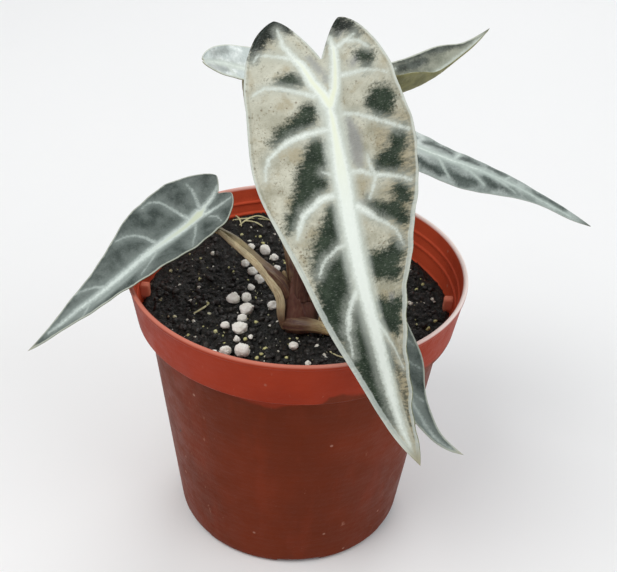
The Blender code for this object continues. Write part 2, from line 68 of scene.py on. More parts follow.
class Pile:
    """Grids of points gathered into one mesh, with a value per point for each named mask."""

    def __init__(self, *masks):
        self.points = []
        self.faces = []
        self.count = 0
        self.masks = {name: [] for name in masks}

    def add(self, grid, close_columns=False, flip=False, **masks):
        rows, columns = grid.shape[:2]
        self.points.append(grid.reshape(-1, 3))
        self.faces.append(sheet_faces(rows, columns, self.count, close_columns, flip))
        for name, kept in self.masks.items():
            value = masks.get(name, 0.0)
            kept.append(np.broadcast_to(value, (rows, columns)).reshape(-1))
        self.count += rows * columns

    def add_loose(self, points, faces, **masks):
        self.points.append(points)
        self.faces.append(faces + self.count)
        for name, kept in self.masks.items():
            kept.append(np.broadcast_to(masks.get(name, 0.0), len(points)))
        self.count += len(points)

    def build(self, name, mat):
        mesh = bpy.data.meshes.new(name)
        points = np.concatenate(self.points) * MM
        mesh.vertices.add(len(points))
        mesh.vertices.foreach_set("co", points.astype(np.float32).ravel())
        loops = np.concatenate([f.ravel() for f in self.faces])
        sizes = np.concatenate([np.full(len(f), f.shape[1]) for f in self.faces])
        starts = np.concatenate([[0], np.cumsum(sizes)[:-1]])
        mesh.loops.add(len(loops))
        mesh.loops.foreach_set("vertex_index", loops.astype(np.int32))
        mesh.polygons.add(len(sizes))
        mesh.polygons.foreach_set("loop_start", starts.astype(np.int32))
        mesh.update(calc_edges=True)
        for mask, kept in self.masks.items():
            layer = mesh.attributes.new(mask, "FLOAT", "POINT")
            layer.data.foreach_set("value", np.concatenate(kept).astype(np.float32))
        mesh.validate()
        work = bmesh.new()
        work.from_mesh(mesh)
        bmesh.ops.remove_doubles(work, verts=work.verts, dist=WELD)
        bmesh.ops.dissolve_degenerate(work, dist=WELD * 0.1, edges=work.edges)
        work.to_mesh(mesh)
        work.free()
        mesh.polygons.foreach_set("use_smooth", np.full(len(mesh.polygons), True))
        mesh.update()
        obj = bpy.data.objects.new(name, mesh)
        bpy.context.scene.collection.objects.link(obj)
        mesh.materials.append(mat)
        return obj


def place(obj, slot, *nodes):
    """The piece rides with the pot's one body and stands for these nodes of the part."""
    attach(obj, "root")
    if nodes:
        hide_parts(*nodes)
    return obj


def smooth_step(low, high, value):
    part = np.clip((value - low) / (high - low), 0.0, 1.0)
    return part * part * (3.0 - 2.0 * part)


def lattice_noise(points, size, seed):
    """Smooth noise from -1 to 1: random values on a lattice of cells of one size, eased
    between the eight corners of each point's cell."""
    table = np.random.default_rng(seed).uniform(-1.0, 1.0, 4096)
    spot = np.asarray(points, float) / size
    cell = np.floor(spot).astype(np.int64)
    part = spot - cell
    part = part * part * (3.0 - 2.0 * part)
    total = np.zeros(spot.shape[:-1])
    for corner in range(8):
        step = np.array([corner & 1, corner >> 1 & 1, corner >> 2 & 1])
        where = cell + step
        key = (where[..., 0] * 73856093) ^ (where[..., 1] * 19349663) ^ (where[..., 2] * 83492791)
        weight = np.prod(np.where(step, part, 1.0 - part), axis=-1)
        total += weight * table[key & 4095]
    return total


# --- smooth curves ---------------------------------------------------------------------------

def natural_cubic(knots, values, at):
    """Natural cubic spline: in each span the value is a cubic whose bend matches at knots."""
    knots = np.asarray(knots, float)
    values = np.asarray(values, float).reshape(len(knots), -1)
    count = len(knots)
    step = np.diff(knots)
    matrix = np.eye(count)
    right = np.zeros_like(values)
    for i in range(1, count - 1):
        matrix[i, i - 1] = step[i - 1]
        matrix[i, i] = 2 * (step[i - 1] + step[i])
        matrix[i, i + 1] = step[i]
        right[i] = 6 * ((values[i + 1] - values[i]) / step[i]
                        - (values[i] - values[i - 1]) / step[i - 1])
    bend = np.linalg.solve(matrix, right)
    at = np.asarray(at, float)
    i = np.clip(np.searchsorted(knots, at, side="right") - 1, 0, count - 2)
    h = step[i][:, None]
    a = (knots[i + 1] - at)[:, None]
    c = (at - knots[i])[:, None]
    return ((bend[i] * a ** 3 + bend[i + 1] * c ** 3) / (6 * h)
            + (values[i] / h - bend[i] * h / 6) * a
            + (values[i + 1] / h - bend[i + 1] * h / 6) * c)


def path_through(points, samples=300):
    """A smooth path through points, with the running length at each sample."""
    points = np.asarray(points, float)
    knots = np.concatenate([[0], np.cumsum(np.linalg.norm(np.diff(points, axis=0), axis=1))])
    path = natural_cubic(knots / knots[-1], points, np.linspace(0, 1, samples))
    length = np.concatenate([[0], np.cumsum(np.linalg.norm(np.diff(path, axis=0), axis=1))])
    return path, length


# --- materials -------------------------------------------------------------------------------

class Wiring:
    """Short names for adding nodes to one node tree."""

    def __init__(self, tree):
        self.tree = tree

    def node(self, kind, **settings):
        node = self.tree.nodes.new(kind)
        for name, value in settings.items():
            setattr(node, name, value)
        return node

    def put(self, socket, value):
        if isinstance(value, bpy.types.NodeSocket):
            self.tree.links.new(value, socket)
        elif value is not None:
            if socket.type == "RGBA" and len(value) == 3:
                value = (*value, 1.0)
            socket.default_value = value

    def math(self, operation, a, b=None, clamp=False):
        node = self.node("ShaderNodeMath", operation=operation, use_clamp=clamp)
        self.put(node.inputs[0], a)
        self.put(node.inputs[1], b)
        return node.outputs[0]

    def remap(self, value, low, high, to_low=0.0, to_high=1.0, smooth=True):
        node = self.node("ShaderNodeMapRange")
        node.interpolation_type = "SMOOTHSTEP" if smooth else "LINEAR"
        for socket, given in zip(node.inputs, (value, low, high, to_low, to_high)):
            self.put(socket, given)
        return node.outputs[0]

    def mix(self, part, a, b):
        node = self.node("ShaderNodeMix", data_type="RGBA", blend_type="MIX")
        self.put(node.inputs[0], part)
        self.put(node.inputs[6], a)
        self.put(node.inputs[7], b)
        return node.outputs[2]

    def place(self):
        return self.node("ShaderNodeTexCoord").outputs["Object"]

    def stretch(self, vector, scale):
        node = self.node("ShaderNodeMapping")
        self.put(node.inputs["Vector"], vector)
        self.put(node.inputs["Scale"], scale)
        return node.outputs[0]

    def noise(self, vector, scale, detail=3.0, rough=0.55):
        node = self.node("ShaderNodeTexNoise")
        for name, given in (("Vector", vector), ("Scale", scale), ("Detail", detail),
                            ("Roughness", rough)):
            self.put(node.inputs[name], given)
        return node.outputs["Fac"]

    def cells(self, vector, scale):
        node = self.node("ShaderNodeTexVoronoi", feature="F1")
        self.put(node.inputs["Vector"], vector)
        self.put(node.inputs["Scale"], scale)
        return node.outputs["Distance"]

    def mask(self, name):
        return self.node("ShaderNodeAttribute", attribute_name=name).outputs["Fac"]

    def bump(self, height, distance, strength=1.0):
        node = self.node("ShaderNodeBump")
        self.put(node.inputs["Height"], height)
        self.put(node.inputs["Distance"], distance)
        self.put(node.inputs["Strength"], strength)
        return node.outputs[0]

    def group(self, tree, **given):
        node = self.node("ShaderNodeGroup")
        node.node_tree = tree
        for name, value in given.items():
            self.put(node.inputs[name.replace("_", " ")], value)
        return node.outputs


def new_group(name, inputs, outputs):
    """An empty node group with named sockets; inputs are (name, kind, default)."""
    tree = bpy.data.node_groups.new(name, "ShaderNodeTree")
    for label, kind, default in inputs:
        socket = tree.interface.new_socket(label, in_out="INPUT", socket_type=kind)
        if default is not None:
            socket.default_value = default
    for label, kind in outputs:
        tree.interface.new_socket(label, in_out="OUTPUT", socket_type=kind)
    wire = Wiring(tree)
    start = wire.node("NodeGroupInput")
    end = wire.node("NodeGroupOutput")
    return wire, start.outputs, end.inputs


FLOAT = "NodeSocketFloat"
COLOUR = "NodeSocketColor"
VECTOR = "NodeSocketVector"


def make_mottle():
    """Two colours clouded together, with a fine grain on top."""
    wire, given, out = new_group(
        "mottle",
        [("Vector", VECTOR, None), ("First", COLOUR, (1, 1, 1, 1)), ("Second", COLOUR, (0, 0, 0, 1)),
         ("Scale", FLOAT, 100.0), ("Sharpness", FLOAT, 0.2), ("Grain", FLOAT, 0.1)],
        [("Color", COLOUR), ("Value", FLOAT)])
    cloud = wire.noise(given["Vector"], given["Scale"], 4.0, 0.6)
    low = wire.math("SUBTRACT", 0.5, given["Sharpness"])
    high = wire.math("ADD", 0.5, given["Sharpness"])
    part = wire.remap(cloud, low, high)
    fine = wire.noise(given["Vector"], wire.math("MULTIPLY", given["Scale"], 9.0), 2.0, 0.6)
    fine = wire.math("MULTIPLY", wire.math("SUBTRACT", fine, 0.5), given["Grain"])
    part = wire.math("ADD", part, fine, clamp=True)
    wire.put(out["Color"], wire.mix(part, given["First"], given["Second"]))
    wire.put(out["Value"], part)
    return wire.tree


def make_specks():
    """Scattered round specks: a mask that is 1 inside a speck, kept only in some cells."""
    wire, given, out = new_group(
        "specks",
        [("Vector", VECTOR, None), ("Scale", FLOAT, 300.0), ("Size", FLOAT, 0.2),
         ("Share", FLOAT, 0.3)],
        [("Mask", FLOAT)])
    cell = wire.node("ShaderNodeTexVoronoi", feature="F1")
    wire.put(cell.inputs["Vector"], given["Vector"])
    wire.put(cell.inputs["Scale"], given["Scale"])
    chance = wire.node("ShaderNodeSeparateColor")
    wire.put(chance.inputs[0], cell.outputs["Color"])
    edge = wire.math("MULTIPLY", given["Size"], 0.6)
    spot = wire.remap(cell.outputs["Distance"], given["Size"], edge)
    kept = wire.math("LESS_THAN", chance.outputs[0], given["Share"])
    wire.put(out["Mask"], wire.math("MULTIPLY", spot, kept))
    return wire.tree


MOTTLE = make_mottle()
SPECKS = make_specks()


def new_material(name):
    mat = bpy.data.materials.new(name)
    mat.use_nodes = True
    wire = Wiring(mat.node_tree)
    shader = mat.node_tree.nodes["Principled BSDF"]
    return mat, wire, shader


def set_shader(shader, wire, **given):
    for name, value in given.items():
        wire.put(shader.inputs[name.replace("_", " ")], value)


# --- leaf markings ---------------------------------------------------------------------------
# A mark is a line of (along the midrib from the joint, out from the midrib, half-width), mm.
# Out is positive towards the half on the viewer's left of the big leaf.

MAIN_DARK = (
    ((-17, 20, 0.8), (-20, 18.5, 1.6), (-23, 16.5, 2.2), (-25, 14, 2.8), (-26.5, 11.5, 2.8),
     (-26, 9, 2.2), (-24, 8, 0.9)),
    ((-17, -2.5, 0.5), (-19, -2.5, 1.2), (-21, -4, 2.2), (-22, -6, 2.0), (-21, -8.5, 1.8),
     (-19.5, -10.5, 1.6), (-17, -12, 1.2), (-15.5, -13.5, 0.4)),
    ((-18.5, -6, 0.5), (-20, -6.5, 0.8)),
    ((-7.5, 13, 1.2), (-7.5, 10, 1.9), (-7, 8, 1.2)),
    ((-9.5, -13.5, 1.4), (-7.5, -14.5, 1.6), (-6, -14, 1.2)),
    ((3, 6.5, 2), (5.5, 8, 2.5), (7.5, 11.5, 2), (9, 15.5, 1.7), (11, 17.5, 1.2)),
    ((5.5, -17, 3.6), (7.5, -16.5, 3.2), (6, -14, 1.9)),
    ((16, -20.5, 1.7), (19, -19.5, 2), (22, -17, 2), (24, -12, 1.7), (25.5, -17, 1.5)),
    ((13.5, 6, 1.3), (16.5, 6.5, 2.6), (21.5, 8, 3.6)),
    ((16, 6.5, 2.9), (20, 7.5, 3.7), (24.5, 9, 4.1), (28, 11, 3.4), (31.5, 13.5, 2.5),
     (34.5, 16, 1.7), (37.5, 17.5, 1)),
    ((34, 4.5, 1.1), (38, 5, 2.6), (42, 6.5, 3.3), (45.5, 8.5, 3.4), (48.5, 10.5, 2.4),
     (51, 12.5, 0.9)),
    ((47, 3, 1.5), (50, 5, 3.5), (54.5, 7.5, 4.4), (59, 8.5, 4.6), (63.5, 9.5, 4.4),
     (67.5, 9.5, 3.1)),
    ((22.5, -16.5, 2.1), (24, -14, 1.9), (25, -12, 1.1)),
    ((34.5, -7.5, 1.2), (37.5, -10.5, 2.5), (37.5, -15, 2.1), (41, -16, 1.9), (42, -17, 1)),
    ((32, -17.5, 1.7), (35.5, -17.5, 1.7)),
    ((49, -13.5, 1.6), (51.5, -13, 2.3), (53, -9.5, 3.5), (51, -5, 2), (54.5, -6, 1.9),
     (57, -11.5, 1.8)),
    ((65, -4, 1.9), (68, -7.5, 2.6), (70.5, -9, 2)),
    ((67, -10.5, 1.9), (69.5, -5.5, 2.4), (69.5, -2.5, 1.2), (71.5, -8, 2)),
    ((75, -0.5, 0.7), (78, -1.5, 1), (82, -2, 1.2)),
    ((55, 10.5, 2.6), (60, 10, 3.1), (64.5, 9.5, 2.6), (69, 9.5, 2), (74, 9.5, 1.3)),
    ((63, 3.5, 1.1), (66.5, 5, 2.2), (71, 5.5, 2.7), (76.5, 7, 2.9), (81.5, 6.5, 2.3),
     (87, 5.5, 1.8), (91, 5, 1.1), (94, 4, 0.6)),
    ((52, 9, 4), (60, 8.5, 4.8), (68, 7, 4.3), (76, 6, 4), (84, 5, 3.2), (92, 3.8, 2.3),
     (98, 2.5, 1.2)),
)
MAIN_GREY = (
    ((8, -5, 0.9), (13, -6, 2.0), (19, -6, 2.3), (22.5, -6, 1.2)),
    ((-18.5, -7.5, 1.4), (-21, -7.5, 1.3)),
    ((33.5, -4.5, 1.0), (36.5, -7, 1.2)),
    ((-13, 3.5, 0.8), (-6, -0.5, 0.7)),
    ((-7.5, -10, 1.2), (-9, -12, 0.8)),
    ((64, -9.5, 0.8), (72, -8.5, 1.0)),
)
MAIN_VEINS = (
    ((1, 0.3, 1.4), (6.5, 0, 1.9), (14, 0, 2.2), (23, 0, 2.8), (37, 0, 2.6), (51, 0, 2.4),
     (63, 0.3, 2.1), (74, 0.8, 1.9), (81.5, 1, 1.8), (88.5, 1, 1.6), (94.5, 1, 1.4),
     (100, 1, 1.1), (107, 0.5, 0.3)),
    ((2, 0, 2.3), (-1.5, 1.5, 2.1), (-6, 4, 2.0), (-11.5, 6, 1.7), (-14.5, 8, 1.3),
     (-19.5, 10.5, 0.8), (-24.5, 11, 0.3)),
    ((2, 0, 2.3), (-2.5, -2.5, 2.1), (-9.5, -4, 1.9), (-14, -4.5, 1.6), (-17.5, -4, 0.9)),
    ((-14.5, -6, 1), (-15.5, -10.5, 0.6), (-16, -12, 0.3)),
    ((-1.5, 4, 0.9), (-3, 7.5, 0.7), (-4.5, 11, 0.6), (-6, 15, 0.6), (-6.5, 18.5, 0.5),
     (-5, 22, 0.3)),
    ((-13.5, 7, 0.9), (-15.5, 11, 0.6), (-17, 15.5, 0.4), (-17.5, 18.5, 0.3), (-16, 20, 0.2)),
    ((9.5, 1.5, 0.9), (9.5, 5, 1.1), (10, 9, 1.1), (11, 13.5, 1), (13, 17, 0.8),
     (15.5, 20.5, 0.7), (18.5, 22, 0.5), (22, 22.5, 0.3)),
    ((29.5, 4, 1.1), (30, 7, 1.3), (32, 10, 1.1), (34, 13, 1), (37.5, 15, 0.8), (40.5, 16, 0.4)),
    ((44.5, 2.5, 0.6), (45, 5, 0.5), (46.5, 7, 0.4), (47.5, 9, 0.4), (49.5, 10.5, 0.3),
     (52, 12, 0.2)),
    ((23, 3.5, 0.4), (22, 5.5, 0.2)),
    ((58.5, 2.5, 0.9), (61, 4.5, 0.8), (64, 6.5, 0.7), (67, 7.5, 0.7), (69.5, 8.5, 0.4),
     (72.5, 8.5, 0.3), (76.5, 9, 0.2)),
    ((6, -4, 0.5), (7.5, -8.5, 0.5), (9.5, -12, 0.6), (12, -16.5, 0.6), (14.5, -20.5, 0.5),
     (16, -23.5, 0.3)),
    ((-5.5, -5, 0.9), (-5, -9.5, 0.6), (-4.5, -13.5, 0.5), (-3, -17.5, 0.3), (-1.5, -20, 0.2)),
    ((-15, -9, 0.8), (-13.5, -13, 0.5), (-11, -15.5, 0.3)),
    ((23.5, -2.5, 0.8), (24, -6, 0.7), (26, -9.5, 0.6), (27, -13, 0.7), (28.5, -17.5, 0.5),
     (30.5, -21, 0.4)),
    ((20, -9, 0.3), (24, -9.5, 0.6), (26.5, -10.5, 0.7), (30, -9, 0.4), (32.5, -7.5, 0.3)),
    ((34, -3, 1.3), (36.5, -6, 1.1), (39, -8.5, 0.7), (41.5, -11.5, 0.5), (44, -14, 0.4),
     (47, -15, 0.3), (49.5, -15.5, 0.2)),
    ((69, -0.5, 1), (72, -2, 0.7), (76, -4.5, 0.4), (79.5, -6.5, 0.3), (83, -8, 0.2)),
)
LEFT_VEINS = (
    ((-3, 0, 1.2), (0, 0, 2.7), (5, 0, 2.1), (14, 0.6, 1.9), (20.5, 1, 1.7), (28.5, 1, 1.4),
     (36.5, 1, 1.4), (44.5, 1, 1.2), (52.5, 1, 1), (60.5, 0.5, 0.8), (66, 0.5, 0.3)),
    ((-2, 0.5, 1.4), (-7.5, 0.8, 1.1), (-11.5, 1.8, 0.6)),
    ((-1.5, -2, 1.3), (-5.5, -4, 0.8), (-11.5, -6.5, 0.4)),
    ((-1.5, 1, 0.8), (-3.5, 4.5, 0.5), (-5, 7.5, 0.4), (-5.5, 11, 0.3)),
    ((3.5, 1.5, 1.0), (4.5, 5.5, 0.6), (5, 10, 0.4), (6, 13.5, 0.4), (8.5, 16, 0.3),
     (12, 16, 0.2)),
    ((18.5, 3, 0.8), (19.5, 6, 0.5), (21.5, 9, 0.4), (24.5, 11, 0.3), (28, 12, 0.2)),
    ((42, 2, 0.6), (44.5, 4, 0.3), (48.5, 5.5, 0.3), (52.5, 6, 0.2)),
    ((3.5, -2, 0.5), (7.5, -6.5, 0.4), (12.5, -10.5, 0.2)),
    ((21.5, -1, 0.5), (24.5, -2.5, 0.3), (30.5, -5, 0.2)),
    ((49.5, 0, 0.4), (51.5, -1.5, 0.3), (53.5, -3, 0.2)),
    ((-1.5, -4.5, 0.4), (-3, -7.5, 0.3), (-2.5, -10.5, 0.2)),
)
RIGHT_VEINS = (
    ((-2, 0, 1.3), (12, 0, 1.1), (22, 0, 1.1), (36, 0, 1), (42.5, 0, 0.8), (49, 0, 0.6),
     (56.5, 0, 0.5), (64.5, 0, 0.45), (82, 0, 0.3)),
    ((36, -1, 0.6), (37, -5.5, 0.6), (36, -6.5, 0.3)),
    ((31, 1, 0.5), (34.5, 4.5, 0.4), (37.5, 7.5, 0.2)),
    ((40, 1, 0.5), (44, 2, 0.4), (50, 5, 0.2)),
    ((49, 0, 0.4), (55, 1, 0.3), (61, 2.5, 0.2)),
    ((56, -1, 0.5), (57, -3.5, 0.3)),
    ((6, 1, 0.5), (9, 5, 0.4), (13, 9, 0.2)),
    ((6, -1, 0.5), (9, -5, 0.4), (13, -9, 0.2)),
)
RIGHT_DARK = (
    ((23.5, -4, 0.7), (26.5, -5.5, 1.3), (31, -5, 1.2), (34, -4.5, 0.6)),
    ((38.5, -3, 0.6), (41.5, -3.5, 0.9), (45, -2.5, 0.4)),
    ((49, -3.5, 0.4), (53, -3, 0.7), (56, -3, 0.3)),
    ((19, 4.5, 1.4), (25, 5, 1.2), (27.5, 6, 1.2), (33.5, 6, 1.6), (37, 5.5, 1.1)),
    ((37.5, 6, 1), (41.5, 6.5, 1.7), (46.5, 5.5, 1)),
    ((49, 2, 1), (51.5, 3, 1.4), (54, 4, 0.9)),
    ((56, 3, 0.7), (60, 2, 0.7)),
    ((67.5, -1.5, 0.7), (73, -2, 0.8), (78.5, -1.5, 0.7)),
    ((2, -6, 1.5), (8, -7.5, 1.2), (14, -6, 1.5), (19, -4.5, 1)),
    ((3, 5, 1.5), (8, 6, 1.5), (13, 5, 1.5)),
)
BACK_VEINS = (
    ((-18, 0, 0.5), (-11, -0.5, 1.1), (0, 0, 1.2), (20, 0, 1), (45, 0, 0.8), (60, 0, 0.7),
     (78, 0, 0.55), (99, 0, 0.4)),
    ((-9, 0, 0.6), (-7, 4, 0.5), (-4, 7, 0.3)),
    ((8, 0, 0.6), (12, 5, 0.5), (17, 9, 0.3)),
    ((8, 0, 0.6), (12, -5, 0.5), (17, -9, 0.3)),
    ((26, 0, 0.6), (31, 5, 0.5), (37, 9, 0.3)),
    ((26, 0, 0.6), (31, -5, 0.5), (37, -9, 0.3)),
    ((48, 0, 0.5), (53, -4, 0.4), (60, -8, 0.3)),
)
BACK_DARK = (
    ((-18, 3, 1.1), (-11.5, 2, 1.4), (-9, 1.5, 0.9)),
    ((-13.5, -4, 1.1), (-8.5, -5.5, 1.1)),
    ((2, 5, 2), (7, 6, 2)),
    ((3, -5, 2), (8, -6, 1.8)),
    ((18, 5, 2.2), (25, 6, 2)),
    ((18, -5, 2.2), (25, -6, 2)),
    ((38, 5, 2), (44, 5, 1.6)),
    ((36, -5, 2.2), (44, -6, 2)),
    ((60.5, -8, 1.2), (67.5, -7, 1.6), (72.5, -6, 1.2)),
    ((58, -10, 0.6), (75, -8.5, 0.8), (84, -5, 0.8), (91, -2, 0.7)),
)
UNDER_VEINS = (
    ((-1, 0, 1.1), (10, 0, 0.9), (42, 0, 0.6), (49, 0, 0.6), (57, 0, 0.5), (66, 0, 0.2)),
    ((4, 0, 0.4), (8, -4, 0.3), (13, -7, 0.2)),
    ((4, 0, 0.4), (8, 4, 0.3), (13, 7, 0.2)),
    ((21, 0, 0.4), (24, -4, 0.3), (29, -7.5, 0.2)),
    ((21, 0, 0.4), (24, 4, 0.3), (29, 7.5, 0.2)),
    ((31, -1, 0.4), (34, -4.5, 0.25), (37.5, -7, 0.2)),
    ((31, 1, 0.4), (34, 4.5, 0.25), (37.5, 7, 0.2)),
    ((42.5, -0.5, 0.3), (44.5, -2, 0.2), (47.5, -3, 0.1)),
    ((-2, 0, 0.5), (-6, -4, 0.3)),
    ((-2, 0, 0.5), (-6, 4, 0.3)),
)


FAR_OUTSIDE = -9.0           # the depth where a blade has no marks of that kind


def mark_depth(u, v, marks):
    """How far each point is inside the marks, in mm: the line's half-width there, less the
    distance to the line. Negative outside."""
    best = np.full(np.shape(u), FAR_OUTSIDE)
    for mark in marks:
        for (u0, v0, w0), (u1, v1, w1) in zip(mark[:-1], mark[1:]):
            du = u1 - u0
            dv = v1 - v0
            part = np.clip(((u - u0) * du + (v - v0) * dv) / (du * du + dv * dv), 0.0, 1.0)
            away = np.hypot(u - u0 - part * du, v - v0 - part * dv)
            best = np.maximum(best, w0 + (w1 - w0) * part - away)
    return best


# --- leaves ----------------------------------------------------------------------------------
# spine = points down the midrib; joint = which of them the stalk meets; facing = the way the
# top looks; fold = degrees each half rises; widths = half-widths from joint to tip; lobes =
# (length, offset, roundness) for each half; notch = how far behind the joint the lobes join;
# quilt = how far the blade puffs up between veins; wave = how far it waves near the margin.
LEAVES = {
    "main": dict(
        spine=((0.5, -4, 199), (4.5, -15, 188), (7.5, -24, 178.5), (14, -44, 155.5),
               (20.5, -62, 136), (25.5, -72, 125.5), (32, -84, 109), (38.5, -92, 96)),
        joint=2,
        facing=((0, (-0.1, -0.8, 0.6)), (0.5, (-0.1, -0.8, 0.6)), (1, (-0.3, -0.8, 0.5))),
        fold=(((0, 20), (0.2, 25), (0.45, 22), (0.6, 28), (0.7, 45), (0.8, 52), (1, 50)),
              ((0, 4), (0.2, 5), (0.5, 8), (1, 8))),
        widths=(((0, 22.5), (0.07, 24), (0.15, 25), (0.28, 23), (0.41, 19.5), (0.62, 14),
                 (0.83, 8), (0.93, 3.5), (1, 0)),
                ((0, 25), (0.1, 26), (0.19, 26), (0.33, 22), (0.45, 17.5), (0.64, 12.8),
                 (0.83, 6.6), (0.93, 3.3), (1, 0))),
        lobes=((23, 8, 1.35), (28, 11.5, 2.2)), notch=12.5,
        veins=MAIN_VEINS, dark=MAIN_DARK, grey=MAIN_GREY, quilt=0.45, wave=0.35),
    "left": dict(
        spine=((-25, 10, 132.5), (-35, 2, 122), (-50, -14, 114.5), (-62, -24, 107),
               (-74, -32, 100), (-88, -38, 90)),
        joint=1,
        facing=((0, (-0.3, -0.5, 0.82)), (1, (-0.3, -0.5, 0.82))),
        fold=(((0, 15), (1, 18)), ((0, 15), (1, 15))),
        widths=(((0, 13), (0.11, 12.8), (0.2, 11.8), (0.34, 9.2), (0.48, 6.1), (0.6, 4.7),
                 (0.7, 3.8), (0.83, 2.3), (0.94, 1.1), (1, 0)),
                ((0, 17), (0.07, 17.8), (0.14, 17.6), (0.27, 16), (0.44, 11.4), (0.58, 8.2),
                 (0.72, 5.2), (0.86, 2.2), (1, 0))),
        lobes=((13, 5.5, 2.3), (14.5, 4.5, 1.15)), notch=10,
        veins=LEFT_VEINS, dark=(), quilt=0.4, wave=0.25),
    "right": dict(
        spine=((9, 42, 145), (21, 40, 142), (42, 34, 136), (54, 29, 134), (65, 25, 132),
               (73, 22, 130), (86, 17, 125.5), (93, 14, 123), (103, 11, 119.5)),
        joint=1,
        facing=((0, (0.1, -0.3, 0.95)), (1, (0.1, -0.4, 0.9))),
        fold=(((0, -13), (1, -13)), ((0, -13), (1, -13))),
        widths=(((0, 10), (0.1, 10.5), (0.22, 9.5), (0.41, 6.5), (0.6, 4.6), (0.75, 3.6),
                 (0.86, 3), (0.95, 1.4), (1, 0)),
                ((0, 10), (0.12, 10.5), (0.28, 9.2), (0.43, 10), (0.52, 9.1), (0.6, 7.3),
                 (0.67, 5), (0.74, 3.1), (0.82, 1.8), (0.93, 1.2), (1, 0))),
        lobes=((12, 5, 2), (12, 5, 2)), notch=7,
        veins=RIGHT_VEINS, dark=RIGHT_DARK, quilt=0.3, wave=0.15),
    "back": dict(
        spine=((-34.5, 16, 173), (-19, 24, 167), (5, 32, 159), (23, 40, 153.5),
               (34, 44, 154), (46, 50, 158), (55, 55, 163.5), (60, 58, 167), (66, 62, 172)),
        joint=1,
        facing=((0, (0.1, -0.5, 0.85)), (0.45, (0, -0.5, 0.85)), (0.6, (-0.2, -0.3, 0.9)),
                (1, (-0.3, -0.4, 0.85))),
        fold=(((0, 5), (0.45, 10), (0.6, 35), (1, 35)), ((0, 5), (0.45, 30), (0.6, 70), (1, 70))),
        widths=(((0, 9), (0.15, 10), (0.4, 10.5), (0.58, 10.5), (0.68, 10), (0.76, 8.8),
                 (0.83, 6.3), (0.87, 3.8), (0.92, 2), (1, 0)),
                ((0, 6), (0.15, 7), (0.35, 9.5), (0.55, 10.3), (0.61, 9.8), (0.66, 7.5),
                 (0.72, 3), (0.78, 1.3), (0.9, 0.9), (1, 0))),
        lobes=((18.5, 0.5, 2.4), (18.5, 0.5, 2.6)), notch=17.8,
        veins=BACK_VEINS, dark=BACK_DARK, quilt=0.25, wave=0.15),
    "under": dict(
        spine=((17, -30, 136.5), (21, -38, 130.5), (28, -54, 116.5), (34, -67, 105.5),
               (39, -72.5, 99.5), (44, -78, 95), (52, -84, 94)),
        joint=1,
        facing=((0, (0.2, -0.7, 0.7)), (1, (0.2, -0.7, 0.7))),
        fold=(((0, 8), (1, 8)), ((0, 8), (1, 8))),
        widths=(((0, 7), (0.12, 7.3), (0.3, 7.3), (0.42, 8.6), (0.52, 8.6), (0.61, 6.6),
                 (0.68, 4.6), (0.76, 3.3), (0.86, 2.1), (0.94, 1), (1, 0)),
                ((0, 8), (0.12, 8.4), (0.3, 8.4), (0.42, 8.2), (0.52, 7.3), (0.61, 5.6),
                 (0.7, 3.7), (0.78, 2.2), (0.86, 1.3), (0.94, 0.8), (1, 0))),
        lobes=((10, 4, 2), (10, 4, 2)), notch=6,
        veins=UNDER_VEINS, dark=(), quilt=0.2, wave=0.1),
}

BLADE_THICKNESS = 0.55
EDGE_ROUND = 0.45            # the blade thins to nothing over this much at its edge
BLADE_ROUGH = 0.42
LOBE_POWER = 0.63            # smaller makes a lobe's end fuller
NOTCH_POWERS = (1.1, 0.75)   # how the slit between the lobes opens and then rounds off


class Blade:
    """A leaf blade as a surface: u runs along the midrib from the joint, v across it."""

    def __init__(self, leaf):
        self.leaf = leaf
        self.path, length = path_through(leaf["spine"])
        start = np.asarray(leaf["spine"][leaf["joint"]], float)
        near = int(np.argmin(np.linalg.norm(self.path - start, axis=1)))
        self.run = length - length[near]
        self.behind = -self.run[0]
        self.ahead = self.run[-1]

    def along(self, u):
        return np.stack([np.interp(u, self.run, self.path[:, k]) for k in range(3)], -1)

    def frame(self, u):
        """The midrib's point, the way the blade faces and the way across it, at each u."""
        u = np.asarray(u, float)
        line = (self.along(np.minimum(u + 2.0, self.ahead))
                - self.along(np.maximum(u - 2.0, -self.behind)))
        line /= np.linalg.norm(line, axis=-1, keepdims=True)
        part = (u + self.behind) / (self.behind + self.ahead)
        rows = self.leaf["facing"]
        marks = [row[0] for row in rows]
        face = np.stack([np.interp(part, marks, [row[1][k] for row in rows])
                         for k in range(3)], -1)
        face = face - (face * line).sum(-1, keepdims=True) * line
        face /= np.linalg.norm(face, axis=-1, keepdims=True)
        return self.along(u), face, np.cross(line, face), part

    def edges(self, u, half):
        """How far out the blade starts and ends at each u, on one half."""
        length, offset, round_by = self.leaf["lobes"][half]
        notch = self.leaf["notch"]
        rows = np.array(self.leaf["widths"][half], float)
        ahead = natural_cubic(rows[:, 0], rows[:, 1], np.clip(u / self.ahead, 0, 1))[:, 0]
        back = np.clip(-u / length, 0, 1)
        lobe = offset + (rows[0, 1] - offset) * (1 - back ** round_by) ** LOBE_POWER
        outer = np.where(u < 0, lobe, np.maximum(ahead, 0))
        split = np.clip((-u - notch) / (length - notch), 0, 1)
        open_by, end_by = NOTCH_POWERS
        inner = offset * (1 - (1 - split ** open_by) ** end_by)
        return inner, outer


